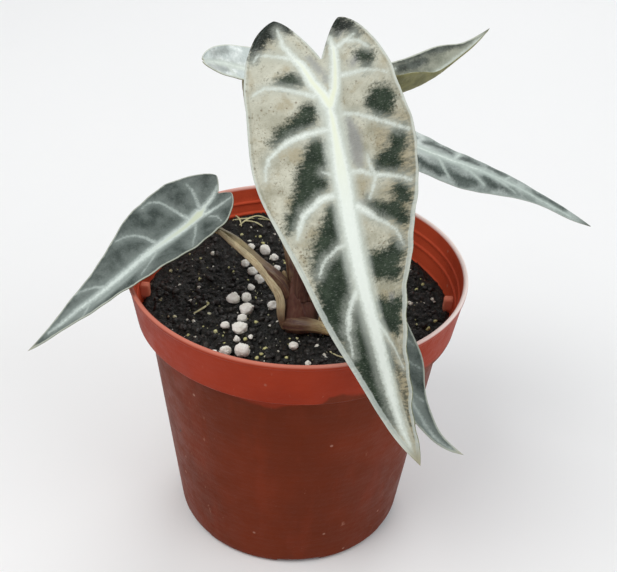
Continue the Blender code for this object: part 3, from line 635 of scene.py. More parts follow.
def half_surface(blade, half, step):
    """One half of a blade. Rows follow u and columns run from the midrib or the lobe's inner
    edge out to the margin. The top is the folded plane, pushed in at the veins, puffed
    between them and waved near the margin. The underside is the top less the thickness,
    which falls to nothing in a quarter round at every free edge, and has a rounded keel
    under the midrib."""
    leaf = blade.leaf
    notch = leaf["notch"]
    length = leaf["lobes"][half][0]
    lobe_rows = int((length - notch) / step) + 8
    free = -length + (length - notch) * np.linspace(0, 1, lobe_rows, endpoint=False) ** 1.4
    joined = np.arange(-notch, 0, step)
    ahead = blade.ahead * np.linspace(0, 1, int(blade.ahead / step))
    ahead = np.concatenate([ahead[:-1], blade.ahead * (1 - np.array([0.0025, 0.001, 0.0]))])
    u = np.concatenate([free, joined, ahead])
    inner, outer = blade.edges(u, half)
    width = outer - inner
    columns = int(width.max() / step)
    even = np.linspace(0, 1, columns)
    bend = smooth_step(0, 1, even)
    across = 0.72 * even + 0.28 * bend
    fine = np.array([0.0015, 0.004, 0.008])
    across = np.unique(np.concatenate([across, fine, 1 - fine]))
    v = inner[:, None] + width[:, None] * across[None, :]
    u2 = np.broadcast_to(u[:, None], v.shape)
    hand = 1.0 if half else -1.0

    spot, face, side, part = blade.frame(u)
    rows = leaf["fold"][half]
    rise = np.radians(np.interp(part, [r[0] for r in rows], [r[1] for r in rows]))
    ease = 1.0 - np.exp(-v / 1.6)
    climb = rise[:, None] * ease
    out = hand * np.cos(climb)[..., None] * side[:, None] + np.sin(climb)[..., None] * face[:, None]
    up = np.cos(climb)[..., None] * face[:, None] - hand * np.sin(climb)[..., None] * side[:, None]
    flat = spot[:, None] + v[..., None] * out

    signed = v * hand
    vein = mark_depth(u2, signed, leaf["veins"])
    dark = mark_depth(u2, signed, leaf["dark"]) if leaf["dark"] else np.full(v.shape, FAR_OUTSIDE)
    grey = mark_depth(u2, signed, leaf.get("grey", ()))
    margin = outer[:, None] - v
    free_side = (v - inner[:, None]) + 30.0 * smooth_step(-notch, -notch + 1.0, u2)
    edge = np.minimum(margin, free_side)

    puff = leaf["quilt"] * (1.0 - np.exp(-np.maximum(-vein, 0.0) / 1.6))
    puff *= smooth_step(0.0, 3.0, edge)
    wave = leaf["wave"] * (np.sin(u2 * 0.34 + 2.0 * half) + 0.6 * np.sin(u2 * 0.81 + 1.0 + half))
    wave *= (smooth_step(0.35, 1.0, v / np.maximum(outer[:, None], 1.0))
             * smooth_step(0, 8, outer)[:, None])
    rim_roll = 0.25 * np.exp(-((edge - 0.5) / 0.45) ** 2)
    grain = 0.06 * lattice_noise(flat, 1.1, 5) + 0.14 * lattice_noise(flat, 4.5, 6)
    top = flat + (puff + wave + rim_roll + grain * smooth_step(0, 1.5, edge) - 0.25)[..., None] * up

    close = np.clip(edge / EDGE_ROUND, 0.0, 1.0)
    thick = BLADE_THICKNESS * np.sqrt(np.maximum(1.0 - (1.0 - close) ** 2, 0.0))
    keel = 0.9 * np.exp(-(v / 1.0) ** 2) * smooth_step(-1.0, 4.0, u2)
    keel *= np.clip(1.0 - u2 / blade.ahead, 0, 1) ** 0.7
    side_ribs = 0.22 * smooth_step(-0.5, 0.3, vein)
    low = top - (thick + (keel + side_ribs) * close)[..., None] * up
    masks = dict(vein=vein, dark=dark, grey=grey, edge=edge, along=u2 / blade.ahead, out=signed)
    return top, low, masks


def build_leaf(key, mat, slot, step):
    blade = Blade(LEAVES[key])
    pile = Pile("vein", "dark", "grey", "edge", "along", "out", "under")
    for half in (0, 1):
        top, low, masks = half_surface(blade, half, step)
        pile.add(top, flip=not half, under=0.0, **masks)
        pile.add(low, flip=bool(half), under=1.0, **masks)
    leaf = pile.build("leaf_" + key, mat)
    return place(leaf, slot, "leaf_" + key), blade


def leaf_material(name, look):
    """A blade's skin. Masks on the mesh say how deep each point is inside a vein, a dark patch
    or the margin; noise roughens where each begins, and cloud colours fill between them."""
    mat, wire, shader = new_material(name)
    here = wire.place()
    hair = wire.math("SUBTRACT", wire.noise(here, 1500.0, 3.0, 0.65), 0.5)
    wobble = wire.math("SUBTRACT", wire.noise(here, 700.0, 3.0, 0.6), 0.5)
    broad = wire.math("SUBTRACT", wire.noise(here, 240.0, 3.0, 0.6), 0.5)
    vein = wire.mask("vein")
    dark = wire.mask("dark")
    edge = wire.mask("edge")
    along = wire.mask("along")
    out = wire.mask("out")
    across = wire.node("ShaderNodeCombineXYZ")
    wire.put(across.inputs[0], wire.math("MULTIPLY", along, 120.0))
    wire.put(across.inputs[1], wire.math("MULTIPLY", out, 0.30))
    comb = wire.noise(across.outputs[0], 0.85, 4.0, 0.65)

    lamina = wire.group(MOTTLE, Vector=here, First=look["lamina"][0], Second=look["lamina"][1],
                        Scale=look.get("cloud", 130.0), Sharpness=0.2, Grain=0.9)[0]
    if "start" in look:
        far = wire.group(MOTTLE, Vector=here, First=look["start"][0], Second=look["start"][1],
                         Scale=160.0, Sharpness=0.12, Grain=0.5)[0]
        lamina = wire.mix(wire.remap(along, 0.40, 0.20), lamina, far)
    if "spots" in look:
        pale_lobe = wire.remap(along, 0.10, -0.05)
        lamina = wire.mix(wire.math("MULTIPLY", pale_lobe, 0.6), lamina, look["lobe"])
        blotch = wire.remap(wire.noise(here, 150.0, 4.0, 0.62), 0.48, 0.66)
        lamina = wire.mix(wire.math("MULTIPLY", blotch, 0.7), lamina, look["blotch"])
        grain = wire.remap(hair, 0.03, 0.16)
        grain = wire.math("MULTIPLY", grain, wire.remap(broad, -0.08, 0.10))
        lamina = wire.mix(wire.math("MULTIPLY", grain, 0.7), lamina, look["grain"])
        speck = wire.group(SPECKS, Vector=here, Scale=800.0, Size=0.36, Share=0.3)[0]
        speck = wire.math("MULTIPLY", speck, wire.remap(wire.noise(here, 90.0, 2.0), 0.42, 0.6))
        lamina = wire.mix(wire.math("MULTIPLY", speck, 0.6), lamina, look["spots"])
        tan_part = wire.math("MULTIPLY", wire.remap(out, -9.0, -17.0),
                             wire.remap(along, 0.0, 0.25))
        tan_low = wire.math("MULTIPLY", wire.remap(out, -1.2, -2.6),
                            wire.remap(along, 0.62, 0.76))
        tan_part = wire.math("MAXIMUM", wire.math("MULTIPLY", tan_part, 0.7), tan_low)
        tan = wire.mix(wire.remap(comb, 0.40, 0.60), look["tan"][0], look["tan"][1])
        lamina = wire.mix(tan_part, lamina, tan)
        dust = wire.remap(wire.math("ADD", wire.mask("grey"), wire.math(
            "ADD", wire.math("MULTIPLY", hair, 2.0), wire.math("MULTIPLY", broad, 3.0))),
            -1.5, 0.9)
        lamina = wire.mix(wire.math("MULTIPLY", dust, 0.8), lamina, look["grey"])
    feather = wire.math("MULTIPLY", wire.math("SUBTRACT", comb, 0.5), look.get("feather", 5.0))
    fuzz = wire.math("ADD", wire.math("MULTIPLY", hair, look.get("hair", 3.0)),
                     wire.math("ADD", feather, wire.math("MULTIPLY", broad, 3.0)))
    depth = wire.math("ADD", dark, fuzz)
    patch = wire.remap(depth, look.get("patch_from", -1.9), 0.9)
    if "start" in look:
        patch = wire.math("MULTIPLY", patch, wire.remap(along, 0.05, 0.30, 0.5, 1.0))
    patch_colour = wire.group(MOTTLE, Vector=here, First=look["patch"][0],
                              Second=look["patch"][1], Scale=300.0, Sharpness=0.2, Grain=0.9)[0]
    if "spots" in look:
        patch_colour = wire.mix(wire.remap(along, -0.10, -0.17), patch_colour, look["lobe_patch"])
    colour = wire.mix(patch, lamina, patch_colour)
    lint = wire.noise(across.outputs[0], 2.9, 5.0, 0.7)
    colour = wire.mix(wire.math("MULTIPLY", wire.remap(lint, 0.53, 0.72), look.get("lint", 0.3)),
                      colour, look["halo_colour"])
    shadow = wire.noise(across.outputs[0], 2.6, 4.0, 0.7)
    colour = wire.mix(wire.math("MULTIPLY", wire.remap(shadow, 0.54, 0.74),
                                look.get("shadow", 0.3)), colour, look["patch"][1])

    soft = wire.math("ADD", wire.math("MULTIPLY", broad, 2.2), wire.math("MULTIPLY", hair, 3.0))
    glow = look.get("glow", (3.0, 0.9, 0.5, 0.8))
    near = wire.remap(wire.math("ADD", wire.math("ABSOLUTE", out), wire.math(
        "MULTIPLY", soft, 0.8)), glow[0], glow[1])
    near = wire.math("MULTIPLY", near, wire.math("MULTIPLY", wire.remap(along, -0.04, 0.01),
                                                 wire.remap(along, 0.95, glow[2])))
    colour = wire.mix(wire.math("MULTIPLY", near, glow[3]), colour, look["side_vein"])
    halo = wire.remap(wire.math("ADD", vein, soft), look.get("halo_from", -2.6), 0.6)
    colour = wire.mix(wire.math("MULTIPLY", halo, look.get("halo", 0.35)), colour,
                      look["halo_colour"])
    ragged = wire.math("ADD", wire.math("MULTIPLY", wobble, look.get("ragged", 0.8)),
                       wire.math("MULTIPLY", hair, look.get("ragged", 0.8) * 1.4))
    line = wire.remap(wire.math("ADD", vein, ragged), look.get("line_from", -0.5), 0.5)
    side_line = wire.math("MULTIPLY", line, look.get("vein_strength", 0.8))
    colour = wire.mix(side_line, colour, look["side_vein"])
    core = wire.remap(wire.math("ADD", vein, ragged), 0.3, 1.3)
    colour = wire.mix(core, colour, look["vein"])
    joint = wire.math("MULTIPLY", wire.remap(vein, 0.9, 2.0), wire.remap(along, 0.35, 0.0))
    colour = wire.mix(wire.math("MULTIPLY", joint, 0.6), colour, look["joint"])

    rim_width = wire.math("ADD", edge, wire.math("MULTIPLY", wobble, 0.7))
    rim_width = wire.math("SUBTRACT", rim_width, wire.remap(along, 0.2, 0.45, 0.0,
                                                            look.get("rim_more", 0.0)))
    rim = wire.remap(rim_width, look.get("rim", 0.9), look.get("rim", 0.9) * 0.45)
    if "spots" in look:
        bare = wire.math("MULTIPLY", patch, wire.remap(along, -0.09, -0.13))
        rim = wire.math("MULTIPLY", rim, wire.math("SUBTRACT", 1.0, bare))
    colour = wire.mix(wire.math("MULTIPLY", rim, look.get("rim_strength", 0.8)), colour,
                      look["rim_colour"])
    # Painted shade: a faint dark line in the trough just inside the rolled margin.
    if "rim_line" in look:
        groove_shade = wire.math("MULTIPLY", wire.remap(edge, 0.8, 1.1), wire.remap(edge, 1.6, 1.3))
        colour = wire.mix(wire.math("MULTIPLY", groove_shade, look["rim_line"]), colour,
                          (0.09, 0.13, 0.12))
    tip = wire.remap(along, 0.93, 0.99)
    colour = wire.mix(wire.math("MULTIPLY", tip, 0.85), colour, look["tip"])

    below = wire.mask("under")
    net = wire.group(MOTTLE, Vector=here, First=look["below"][0], Second=look["below"][1],
                     Scale=220.0, Sharpness=0.2, Grain=0.5)[0]
    ribs = wire.remap(vein, -0.4, 0.2)
    net = wire.mix(wire.math("MULTIPLY", ribs, 0.6), net, look["below_rib"])
    colour = wire.mix(below, colour, net)

    rough = wire.remap(wire.noise(here, 500.0, 3.0), 0.3, 0.7, BLADE_ROUGH, BLADE_ROUGH + 0.16)
    pebble = wire.cells(here, 1500.0)
    height = wire.math("ADD", wire.math("MULTIPLY", pebble, 0.5),
                       wire.noise(here, 700.0, 4.0, 0.6))
    normal = wire.bump(height, 0.00012, 0.6)
    set_shader(shader, wire, Base_Color=colour, Roughness=rough, Normal=normal)
    shader.inputs["Specular IOR Level"].default_value = 0.18
    return mat


# --- stalks and other swept pieces -----------------------------------------------------------

def sweep(pile, points, sizes, step=0.6, around=36, wide=None, ends=None, ribs=0.0, cap=0.6,
          **masks):
    """A cross-section carried along a smooth path. sizes = half-widths across at the points;
    wide = for a flat scale, (half-thickness, way its face looks); ribs = depth of the fine
    ridges that run along it. The ends close in a quarter round."""
    path, length = path_through(points)
    knots = np.concatenate([[0], np.cumsum(np.linalg.norm(
        np.diff(np.asarray(points, float), axis=0), axis=1))])
    rings = max(12, int(length[-1] / step))
    part = np.linspace(0, 1, rings)
    run = part * length[-1]
    where = np.stack([np.interp(run, length, path[:, k]) for k in range(3)], -1)
    line = np.gradient(where, axis=0)
    line /= np.linalg.norm(line, axis=1, keepdims=True)
    if ends:
        blend = np.clip(1.0 - run / 3.0, 0, 1)[:, None]
        line = line * (1 - blend) + np.asarray(ends[0], float) * blend
        blend = np.clip(1.0 - (length[-1] - run) / 3.0, 0, 1)[:, None]
        line = line * (1 - blend) + np.asarray(ends[1], float) * blend
        line /= np.linalg.norm(line, axis=1, keepdims=True)
    size = natural_cubic(knots / knots[-1], sizes, part)[:, 0]
    if wide:
        side = np.cross(line, np.asarray(wide[1], float))
    else:
        side = np.cross(line, np.array([0.3, 1.0, 0.2]))
    side /= np.linalg.norm(side, axis=1, keepdims=True)
    up = np.cross(line, side)
    thick = np.full(rings, float(wide[0])) if wide else size.copy()
    near_end = np.minimum(run, length[-1] - run)
    rounding = np.sqrt(np.clip(1 - (1 - np.clip(near_end / cap, 0, 1)) ** 2, 0.0, 1))
    a = np.linspace(0, 2 * pi, around, endpoint=False)
    bump = 1.0 + ribs * np.sin(a[None, :] * 9.0 + 0.6 * np.sin(run[:, None] * 0.2))
    spread = (size * rounding)[:, None, None] * bump[..., None]
    depth = (thick * rounding)[:, None, None] * bump[..., None]
    ring = (where[:, None] + spread * np.cos(a)[None, :, None] * side[:, None]
            + depth * np.sin(a)[None, :, None] * up[:, None])
    ring = ring + (0.10 * lattice_noise(ring, 1.4, 11) * rounding[:, None])[..., None] * (
        np.cos(a)[None, :, None] * side[:, None] + np.sin(a)[None, :, None] * up[:, None])
    masks = {name: (value if np.isscalar(value) else np.interp(part, *value)[:, None])
             for name, value in masks.items()}
    pile.add(ring, close_columns=True, run=run[:, None], turn=a[None, :], **masks)
    return ring


CROWN = ((1.5, -11.5, 73), (1.4, -12.6, 82), (1.3, -13.4, 89), (1.1, -13.4, 96),
         (0.9, -13.4, 102), (0.7, -13.2, 108.5))
CROWN_SIZES = (3.2, 5.6, 7.0, 6.5, 4.9, 2.4)
STALKS = {
    "main": ((1.4, -15.4, 102.7), (1.3, -15.2, 105), (1.0, -13.8, 125), (2.6, -14.5, 145),
             (4.6, -16.5, 163)),
    "left": ((-3.0, -13.9, 102.9), (-4.6, -13.6, 105), (-11.8, -9.4, 110), (-18.4, -5, 113.6),
             (-24, -2, 116.3)),
    "right": ((4.0, -10.2, 102.8), (4.6, -9.4, 105), (11, 10, 122), (16.8, 27, 129.5),
              (20, 36.5, 133.5)),
    "back": ((-0.8, -9.8, 102.8), (-1.2, -9.1, 105), (-11, 5.5, 134), (-17.5, 16, 150),
             (-20, 22.5, 159)),
    "under": ((5.2, -14.4, 102.8), (5.8, -15, 105), (13, -23, 116.5), (17.5, -30, 121.5),
              (19.8, -34, 124)),
}
STALK_SIZES = {"main": (1.7, 1.5), "left": (1.45, 1.1), "right": (1.6, 1.1), "back": (1.6, 1.1),
               "under": (1.6, 1.1)}


def stalk_material(name, low, high, streak, turn_at=(8.0, 30.0), rough=0.42):
    """A stalk's skin: one colour at the foot easing into another up the stalk, streaked along
    its length, with small dashes of the streak's colour."""
    mat, wire, shader = new_material(name)
    here = wire.place()
    run = wire.mask("run")
    turn = wire.mask("turn")
    path = wire.node("ShaderNodeCombineXYZ")
    wire.put(path.inputs[0], wire.math("MULTIPLY", wire.math("SINE", turn), 0.9))
    wire.put(path.inputs[1], wire.math("MULTIPLY", wire.math("COSINE", turn), 0.9))
    wire.put(path.inputs[2], wire.math("MULTIPLY", run, 0.06))
    streaks = wire.noise(path.outputs[0], 5.0, 4.0, 0.6)
    colour = wire.mix(wire.remap(run, *turn_at), low, high)
    colour = wire.mix(wire.math("MULTIPLY", wire.remap(streaks, 0.45, 0.62), 0.7), colour, streak)
    cloud = wire.noise(here, 240.0, 3.0)
    shade = wire.remap(cloud, 0.3, 0.7, 0.75, 1.2, smooth=False)
    tone = wire.node("ShaderNodeHueSaturation")
    wire.put(tone.inputs["Color"], colour)
    wire.put(tone.inputs["Value"], shade)
    dash = wire.group(SPECKS, Vector=wire.stretch(here, (1.0, 1.0, 0.45)), Scale=900.0, Size=0.4,
                      Share=0.3)[0]
    colour = wire.mix(wire.math("MULTIPLY", dash, 0.25), tone.outputs[0], streak)
    height = wire.math("ADD", streaks, wire.math("MULTIPLY", wire.noise(here, 900.0, 3.0), 0.5))
    set_shader(shader, wire, Base_Color=colour, Normal=wire.bump(height, 0.0002, 0.6),
               Roughness=wire.remap(cloud, 0.3, 0.7, rough - 0.06, rough + 0.1))
    shader.inputs["Specular IOR Level"].default_value = 0.45
    return mat


def build_crown(mat):
    """The crown: a stem thicker in the middle. The old leaf bases that wrap it show as raised
    overlapping edges: three steps to each turn, which climb slowly round it."""
    path, length = path_through(CROWN)
    run = np.linspace(0, length[-1], 90)
    where = np.stack([np.interp(run, length, path[:, k]) for k in range(3)], -1)
    knots = np.concatenate([[0], np.cumsum(np.linalg.norm(np.diff(np.asarray(CROWN, float),
                                                                  axis=0), axis=1))])
    size = natural_cubic(knots / knots[-1], CROWN_SIZES, run / length[-1])[:, 0]
    a = np.linspace(0, 2 * pi, 120, endpoint=False)
    turn = a[None, :] + 0.05 * run[:, None]
    step = ((turn / (2 * pi) * 3.0) % 1.0)
    wrap = 0.55 * step ** 3 - 0.15
    grow = smooth_step(length[-1], length[-1] - 1.6, run)
    squash = np.sqrt(np.clip(grow, 0, 1))
    radius = (size[:, None] - 0.35 + wrap) * squash[:, None]
    radius = radius + 0.12 * lattice_noise(
        np.stack(np.broadcast_arrays(8 * np.cos(a)[None], 8 * np.sin(a)[None], run[:, None] * 0.5),
                 -1), 1.6, 21) * squash[:, None]
    ring = np.stack([where[:, None, 0] + radius * np.cos(a), where[:, None, 1] + radius * np.sin(a),
                     np.broadcast_to(where[:, None, 2], radius.shape)], -1)
    foot = np.broadcast_to(where[0], (1, len(a), 3))
    pile = Pile("run", "turn")
    pile.add(np.concatenate([foot, ring]), close_columns=True,
             run=np.concatenate([[0], run])[:, None], turn=a[None, :])
    top = np.linspace(0, 1, 8)[:, None, None]
    cap = ring[-1][None] * (1 - top) + where[-1] * top
    cap[..., 2] += 0.3 * np.sin(top[..., 0] * pi / 2)
    pile.add(cap, close_columns=True, run=length[-1], turn=a[None, :])
    return place(pile.build("crown", mat), "maroon_stalk", "crown")


# --- pot -------------------------------------------------------------------------------------

POT_SEGMENTS = 240
LUG_TURNS = (0, 90, 180, 270)
NOTCH_FIRST = 7.0
DRAIN_CIRCLE = 29.0
DRAIN_RADIUS = 3.0
FOOT_NOTCHES = 6             # as many notches in the foot ring as holes in the base
NOTCH_STEP = 360 // FOOT_NOTCHES
BASE_TOP = 3.5
BASE_UNDER = 2.3


def rounded(profile, share=0.3, steps=4):
    """The profile with each corner eased by a short curve that keeps inside the corner."""
    profile = np.asarray(profile, float)
    made = [profile[0]]
    for before, corner, after in zip(profile[:-2], profile[1:-1], profile[2:]):
        reach = share * min(np.linalg.norm(corner - before), np.linalg.norm(after - corner))
        start = corner + (before - corner) / np.linalg.norm(before - corner) * reach
        end = corner + (after - corner) / np.linalg.norm(after - corner) * reach
        for t in np.linspace(0, 1, steps):
            made.append((1 - t) ** 2 * start + 2 * t * (1 - t) * corner + t * t * end)
    made.append(profile[-1])
    return np.array(made)


def filled(profile, longest):
    """The profile with long straight runs cut into shorter ones."""
    made = [profile[0]]
    for start, end in zip(profile[:-1], profile[1:]):
        count = max(1, int(np.ceil(np.linalg.norm(end - start) / longest)))
        for t in np.arange(1, count + 1) / count:
            made.append(start + (end - start) * t)
    return np.array(made)


def build_pot(mat):
    """The pot: a turned profile from the top of the base, up the inner wall, over the lip,
    down the outside and under the foot ring. Six notches lift the ring, and the base plate
    has six round holes, each in a cell whose rings run from the hole out to the cell's edge."""
    wall = [
        (36.0, 3.5), (39.6, 3.5), (41.0, 4.8), (51.9, 86.8), (52.5, 88.0), (55.0, 88.2),
        (55.6, 88.8), (56.45, 93.7), (56.15, 94.2), (56.25, 94.8), (56.85, 95.2), (57.25, 98.2),
        (56.95, 98.7), (57.05, 99.3), (57.55, 99.7), (58.1, 103.4), (58.3, 104.6), (58.8, 105.2),
        (59.3, 105.4), (59.8, 105.2), (60.0, 104.6), (59.9, 103.8), (59.5, 103.2), (57.0, 88.1),
        (56.5, 87.4), (56.0, 87.2), (53.6, 87.2), (53.1, 86.6), (42.9, 3.2), (42.4, 1.2),
        (41.3, 0.25), (40.3, 0.0), (37.3, 0.0), (36.5, 0.5), (36.3, 2.3), (36.0, 2.3),
    ]
    profile = filled(rounded(wall), 1.6)
    a = np.linspace(0, 2 * pi, POT_SEGMENTS, endpoint=False)
    radius = np.broadcast_to(profile[:, :1], (len(profile), len(a))).copy()
    height = np.broadcast_to(profile[:, 1:], (len(profile), len(a))).copy()
    # The moulded wall isn't quite true: it swells and leans by a few tenths of a millimetre.
    swell = 0.12 * np.sin(2 * a + 0.8)[None] + 0.06 * np.sin(5 * a + 2.0)[None]
    radius = radius + swell * smooth_step(8, 60, height)
    notch = np.zeros(len(a))
    for k in range(FOOT_NOTCHES):
        away = np.abs((np.degrees(a) - NOTCH_FIRST - NOTCH_STEP * k + 180) % 360 - 180)
        notch = np.maximum(notch, 1.0 - smooth_step(10.2, 11.4, away))
    lift = 1.9 * notch[None, :]
    low = np.arange(len(profile))[:, None] > len(profile) * 0.6
    height = np.where(low & (height < 2.2), np.maximum(height, lift), height)
    ring = np.stack([radius * np.sin(a), -radius * np.cos(a), height], -1)
    pile = Pile("level", "inside", "around")
    peak = int(np.argmax(profile[:, 1]))
    inside = (np.arange(len(profile)) < peak).astype(float)[:, None]
    pile.add(ring, close_columns=True, flip=False, level=height, inside=inside, around=a[None, :])

    # Base plate: a middle disc, and six cells with a hole each, for the top and the underside.
    per_cell = POT_SEGMENTS // FOOT_NOTCHES
    for z, flip in ((BASE_TOP, True), (BASE_UNDER, False)):
        r = np.array([0.001, 8.0, 16.0, 22.0])
        disc = np.stack([r[:, None] * np.sin(a), -r[:, None] * np.cos(a),
                         np.full((len(r), len(a)), z)], -1)
        pile.add(disc, close_columns=True, flip=flip, level=z, inside=float(z > 3), around=a[None])
    half_angle = radians(30)
    q = np.linspace(-half_angle, half_angle, per_cell + 1)
    p = np.linspace(-7.0, 7.0, 13)
    border = np.concatenate([
        np.stack([np.full(per_cell, 7.0), q[:-1]], -1),
        np.stack([p[::-1][:-1], np.full(12, half_angle)], -1),
        np.stack([np.full(per_cell, -7.0), q[::-1][:-1]], -1),
        np.stack([p[:-1], np.full(12, -half_angle)], -1)])
    flat = border * np.array([1.0, DRAIN_CIRCLE])
    hole = flat / np.linalg.norm(flat, axis=1, keepdims=True) * DRAIN_RADIUS
    t = np.linspace(0, 1, 7)[:, None, None] ** 1.3
    cell = hole[None] * (1 - t) + flat[None] * t
    for k in range(FOOT_NOTCHES):
        mid = radians(NOTCH_FIRST + NOTCH_STEP * k)
        nearest = round(mid / (2 * pi) * POT_SEGMENTS) / POT_SEGMENTS * 2 * pi
        angle = nearest + cell[..., 1] / DRAIN_CIRCLE
        r = DRAIN_CIRCLE + cell[..., 0]
        for z, flip in ((BASE_TOP, False), (BASE_UNDER, True)):
            sheet = np.stack([r * np.sin(angle), -r * np.cos(angle), np.full(r.shape, z)], -1)
            pile.add(sheet, close_columns=True, flip=flip, level=z, inside=float(z > 3),
                     around=angle)
        rim = np.stack([r[0] * np.sin(angle[0]), -r[0] * np.cos(angle[0])], -1)
        tube = np.stack([np.concatenate([rim, np.full((len(rim), 1), z)], 1)
                         for z in (BASE_UNDER, 2.9, BASE_TOP)])
        pile.add(tube, close_columns=True, flip=False, level=3.0, inside=0.0, around=mid)

    # Lugs on the ledge inside the collar: rounded blocks, a superellipse swept down.
    b = np.linspace(0, 2 * pi, 40, endpoint=False)
    for turn in LUG_TURNS:
        c = np.sign(np.cos(b)) * np.abs(np.cos(b)) ** 0.35
        s = np.sign(np.sin(b)) * np.abs(np.sin(b)) ** 0.35
        rings = []
        for scale, z in ((0.0, 93.6), (0.6, 93.6), (0.9, 93.45), (1.0, 92.9), (1.02, 90.0),
                         (1.05, 88.1), (0.0, 88.1)):
            rings.append(np.stack([54.5 + 1.7 * scale * c, 1.75 * scale * s,
                                   np.full(len(b), z)], -1))
        lug = np.array(rings)
        lug[..., 0] += 0.1 * (lug[..., 2] - 90) / 3
        t = radians(turn)
        spun = np.stack([lug[..., 0] * cos(t) - lug[..., 1] * sin(t),
                         lug[..., 0] * sin(t) + lug[..., 1] * cos(t), lug[..., 2]], -1)
        pile.add(spun, close_columns=True, flip=True, level=spun[..., 2], inside=2.0, around=t)
    return place(pile.build("pot", mat), "pot_plastic", "pot")


def pot_material():
    """Thin brick-red plastic with painted light and shade: paler and pinker where light comes
    through the collar, inside wall and lugs, browner below a wavy line under the shoulder as
    painted shade where the compost backs the wall, a painted highlight along the top of the lip,
    scuffs, pale lime specks and a few dark spots."""
    mat, wire, shader = new_material("pot plastic, brick red")
    here = wire.place()
    level = wire.mask("level")
    inside = wire.mask("inside")
    cloud = wire.noise(here, 26.0, 4.0, 0.6)
    fine = wire.noise(here, 160.0, 4.0, 0.65)
    wall = wire.mix(wire.remap(cloud, 0.35, 0.65), (0.158, 0.0215, 0.0035), (0.124, 0.0180, 0.0030))
    streak = wire.noise(wire.stretch(here, (1.0, 1.0, 0.22)), 90.0, 4.0, 0.6)
    wall = wire.mix(wire.math("MULTIPLY", wire.remap(streak, 0.5, 0.68), 0.35), wall,
                    (0.20, 0.028, 0.008))
    # Painted light: the collar above the compost is painted paler and redder than the wall, as light
    # coming through the thin plastic.
    collar = wire.mix(wire.remap(cloud, 0.35, 0.65), (0.33, 0.033, 0.009), (0.265, 0.025, 0.007))
    axes = wire.node("ShaderNodeSeparateXYZ")
    wire.put(axes.inputs[0], here)
    # Painted shade: below a wavy line just under the compost's top the wall keeps its darker, browner
    # colour, as the compost behind it stops light coming through.
    wave = wire.math("MULTIPLY", wire.math(
        "SUBTRACT", wire.noise(here, 38.0, 4.0, 0.6), 0.5), 15.0)
    climb = wire.remap(axes.outputs[0], -0.006, 0.014, 2.2, -3.2)
    compost_shade_line = wire.math("ADD", level, wire.math("ADD", wave, climb))
    red = wire.mix(wire.remap(level, 86.4, 88.2), (0.245, 0.026, 0.007), collar)
    colour = wire.mix(wire.remap(compost_shade_line, 84.6, 86.6), wall, red)
    # Painted light: the inside wall is painted bright pinkish red and the lugs pale salmon, as light
    # shining through the thin plastic.
    inner = wire.mix(wire.remap(cloud, 0.35, 0.65), (0.62, 0.088, 0.036), (0.47, 0.062, 0.026))
    colour = wire.mix(wire.remap(inside, 0.3, 0.7, smooth=False), colour, inner)
    colour = wire.mix(wire.remap(inside, 1.3, 1.7), colour, (0.80, 0.24, 0.15))
    # Painted highlight: the top of the lip is painted pale pink, brightening to near white towards the
    # right and back.
    lip = wire.remap(level, 104.2, 105.2)
    highlit_side = wire.remap(wire.math("ADD", axes.outputs[0], wire.math("MULTIPLY", axes.outputs[1], 0.5)),
                      -0.03, 0.045)
    lip_highlight = wire.mix(highlit_side, (0.60, 0.20, 0.14), (0.99, 0.86, 0.81))
    colour = wire.mix(wire.math("MULTIPLY", lip, 0.9), colour, lip_highlight)

    scuff = wire.noise(wire.stretch(here, (1.0, 1.0, 0.35)), 420.0, 3.0, 0.7)
    scuff = wire.math("MULTIPLY", wire.remap(scuff, 0.66, 0.74),
                      wire.remap(wire.noise(here, 45.0, 2.0), 0.5, 0.62))
    colour = wire.mix(wire.math("MULTIPLY", scuff, 0.4), colour, (0.45, 0.22, 0.16))
    pale = wire.group(SPECKS, Vector=here, Scale=150.0, Size=0.10, Share=0.3)[0]
    colour = wire.mix(wire.math("MULTIPLY", pale, 0.4), colour, (0.55, 0.32, 0.24))
    dirt = wire.group(SPECKS, Vector=here, Scale=75.0, Size=0.07, Share=0.22)[0]
    colour = wire.mix(wire.math("MULTIPLY", dirt, 0.85), colour, (0.03, 0.012, 0.008))
    rough = wire.remap(fine, 0.3, 0.7, 0.40, 0.56)
    rough = wire.math("ADD", rough, wire.math("MULTIPLY", scuff, 0.2))
    height = wire.math("ADD", wire.math("MULTIPLY", fine, 0.6), wire.noise(here, 1200.0, 2.0))
    hoop = wire.math("SINE", wire.math("MULTIPLY", level, 2.2))
    height = wire.math("ADD", height, wire.math("MULTIPLY", hoop, 0.10))
    set_shader(shader, wire, Base_Color=colour, Roughness=rough,
               Normal=wire.bump(height, 0.00018, 0.5))
    shader.inputs["Specular IOR Level"].default_value = 0.09
    return mat


# --- compost and what lies on it -------------------------------------------------------------

SOIL_RADIUS = 55.2
SOIL_LEVEL = 88.55           # at the pot's centre line, away from the heap
SOIL_EASE_RADIUS = 52.0      # the slow unevenness dies away towards this radius
HEAP = (-21.0, 46.0, 7.0, 290.0)     # the heap's x, y, height and spread
CROWN_SPOT = (1.4, -13.2)
CROWN_CLEAR = 7.5            # crumbs nearer the crown than this are small
PERLITE_COUNT = 22


def soil_level(x, y):
    """The compost's top: nearly level, heaped at the back left, uneven, cloddy and grainy."""
    r = np.hypot(x, y)
    heap_x, heap_y, heap_height, heap_spread = HEAP
    level = SOIL_LEVEL + 0.5 * (r / SOIL_EASE_RADIUS) ** 2
    level = level + heap_height * np.exp(
        -((x - heap_x) ** 2 + (y - heap_y) ** 2) / heap_spread)
    rough = 0.35 * np.sin(0.31 * x + 1.1) * np.cos(0.27 * y - 0.4)
    rough = rough + 0.25 * np.sin(0.53 * y + 0.37 * x)
    return level + rough * np.clip((SOIL_EASE_RADIUS - r) / 6.0, 0, 1)


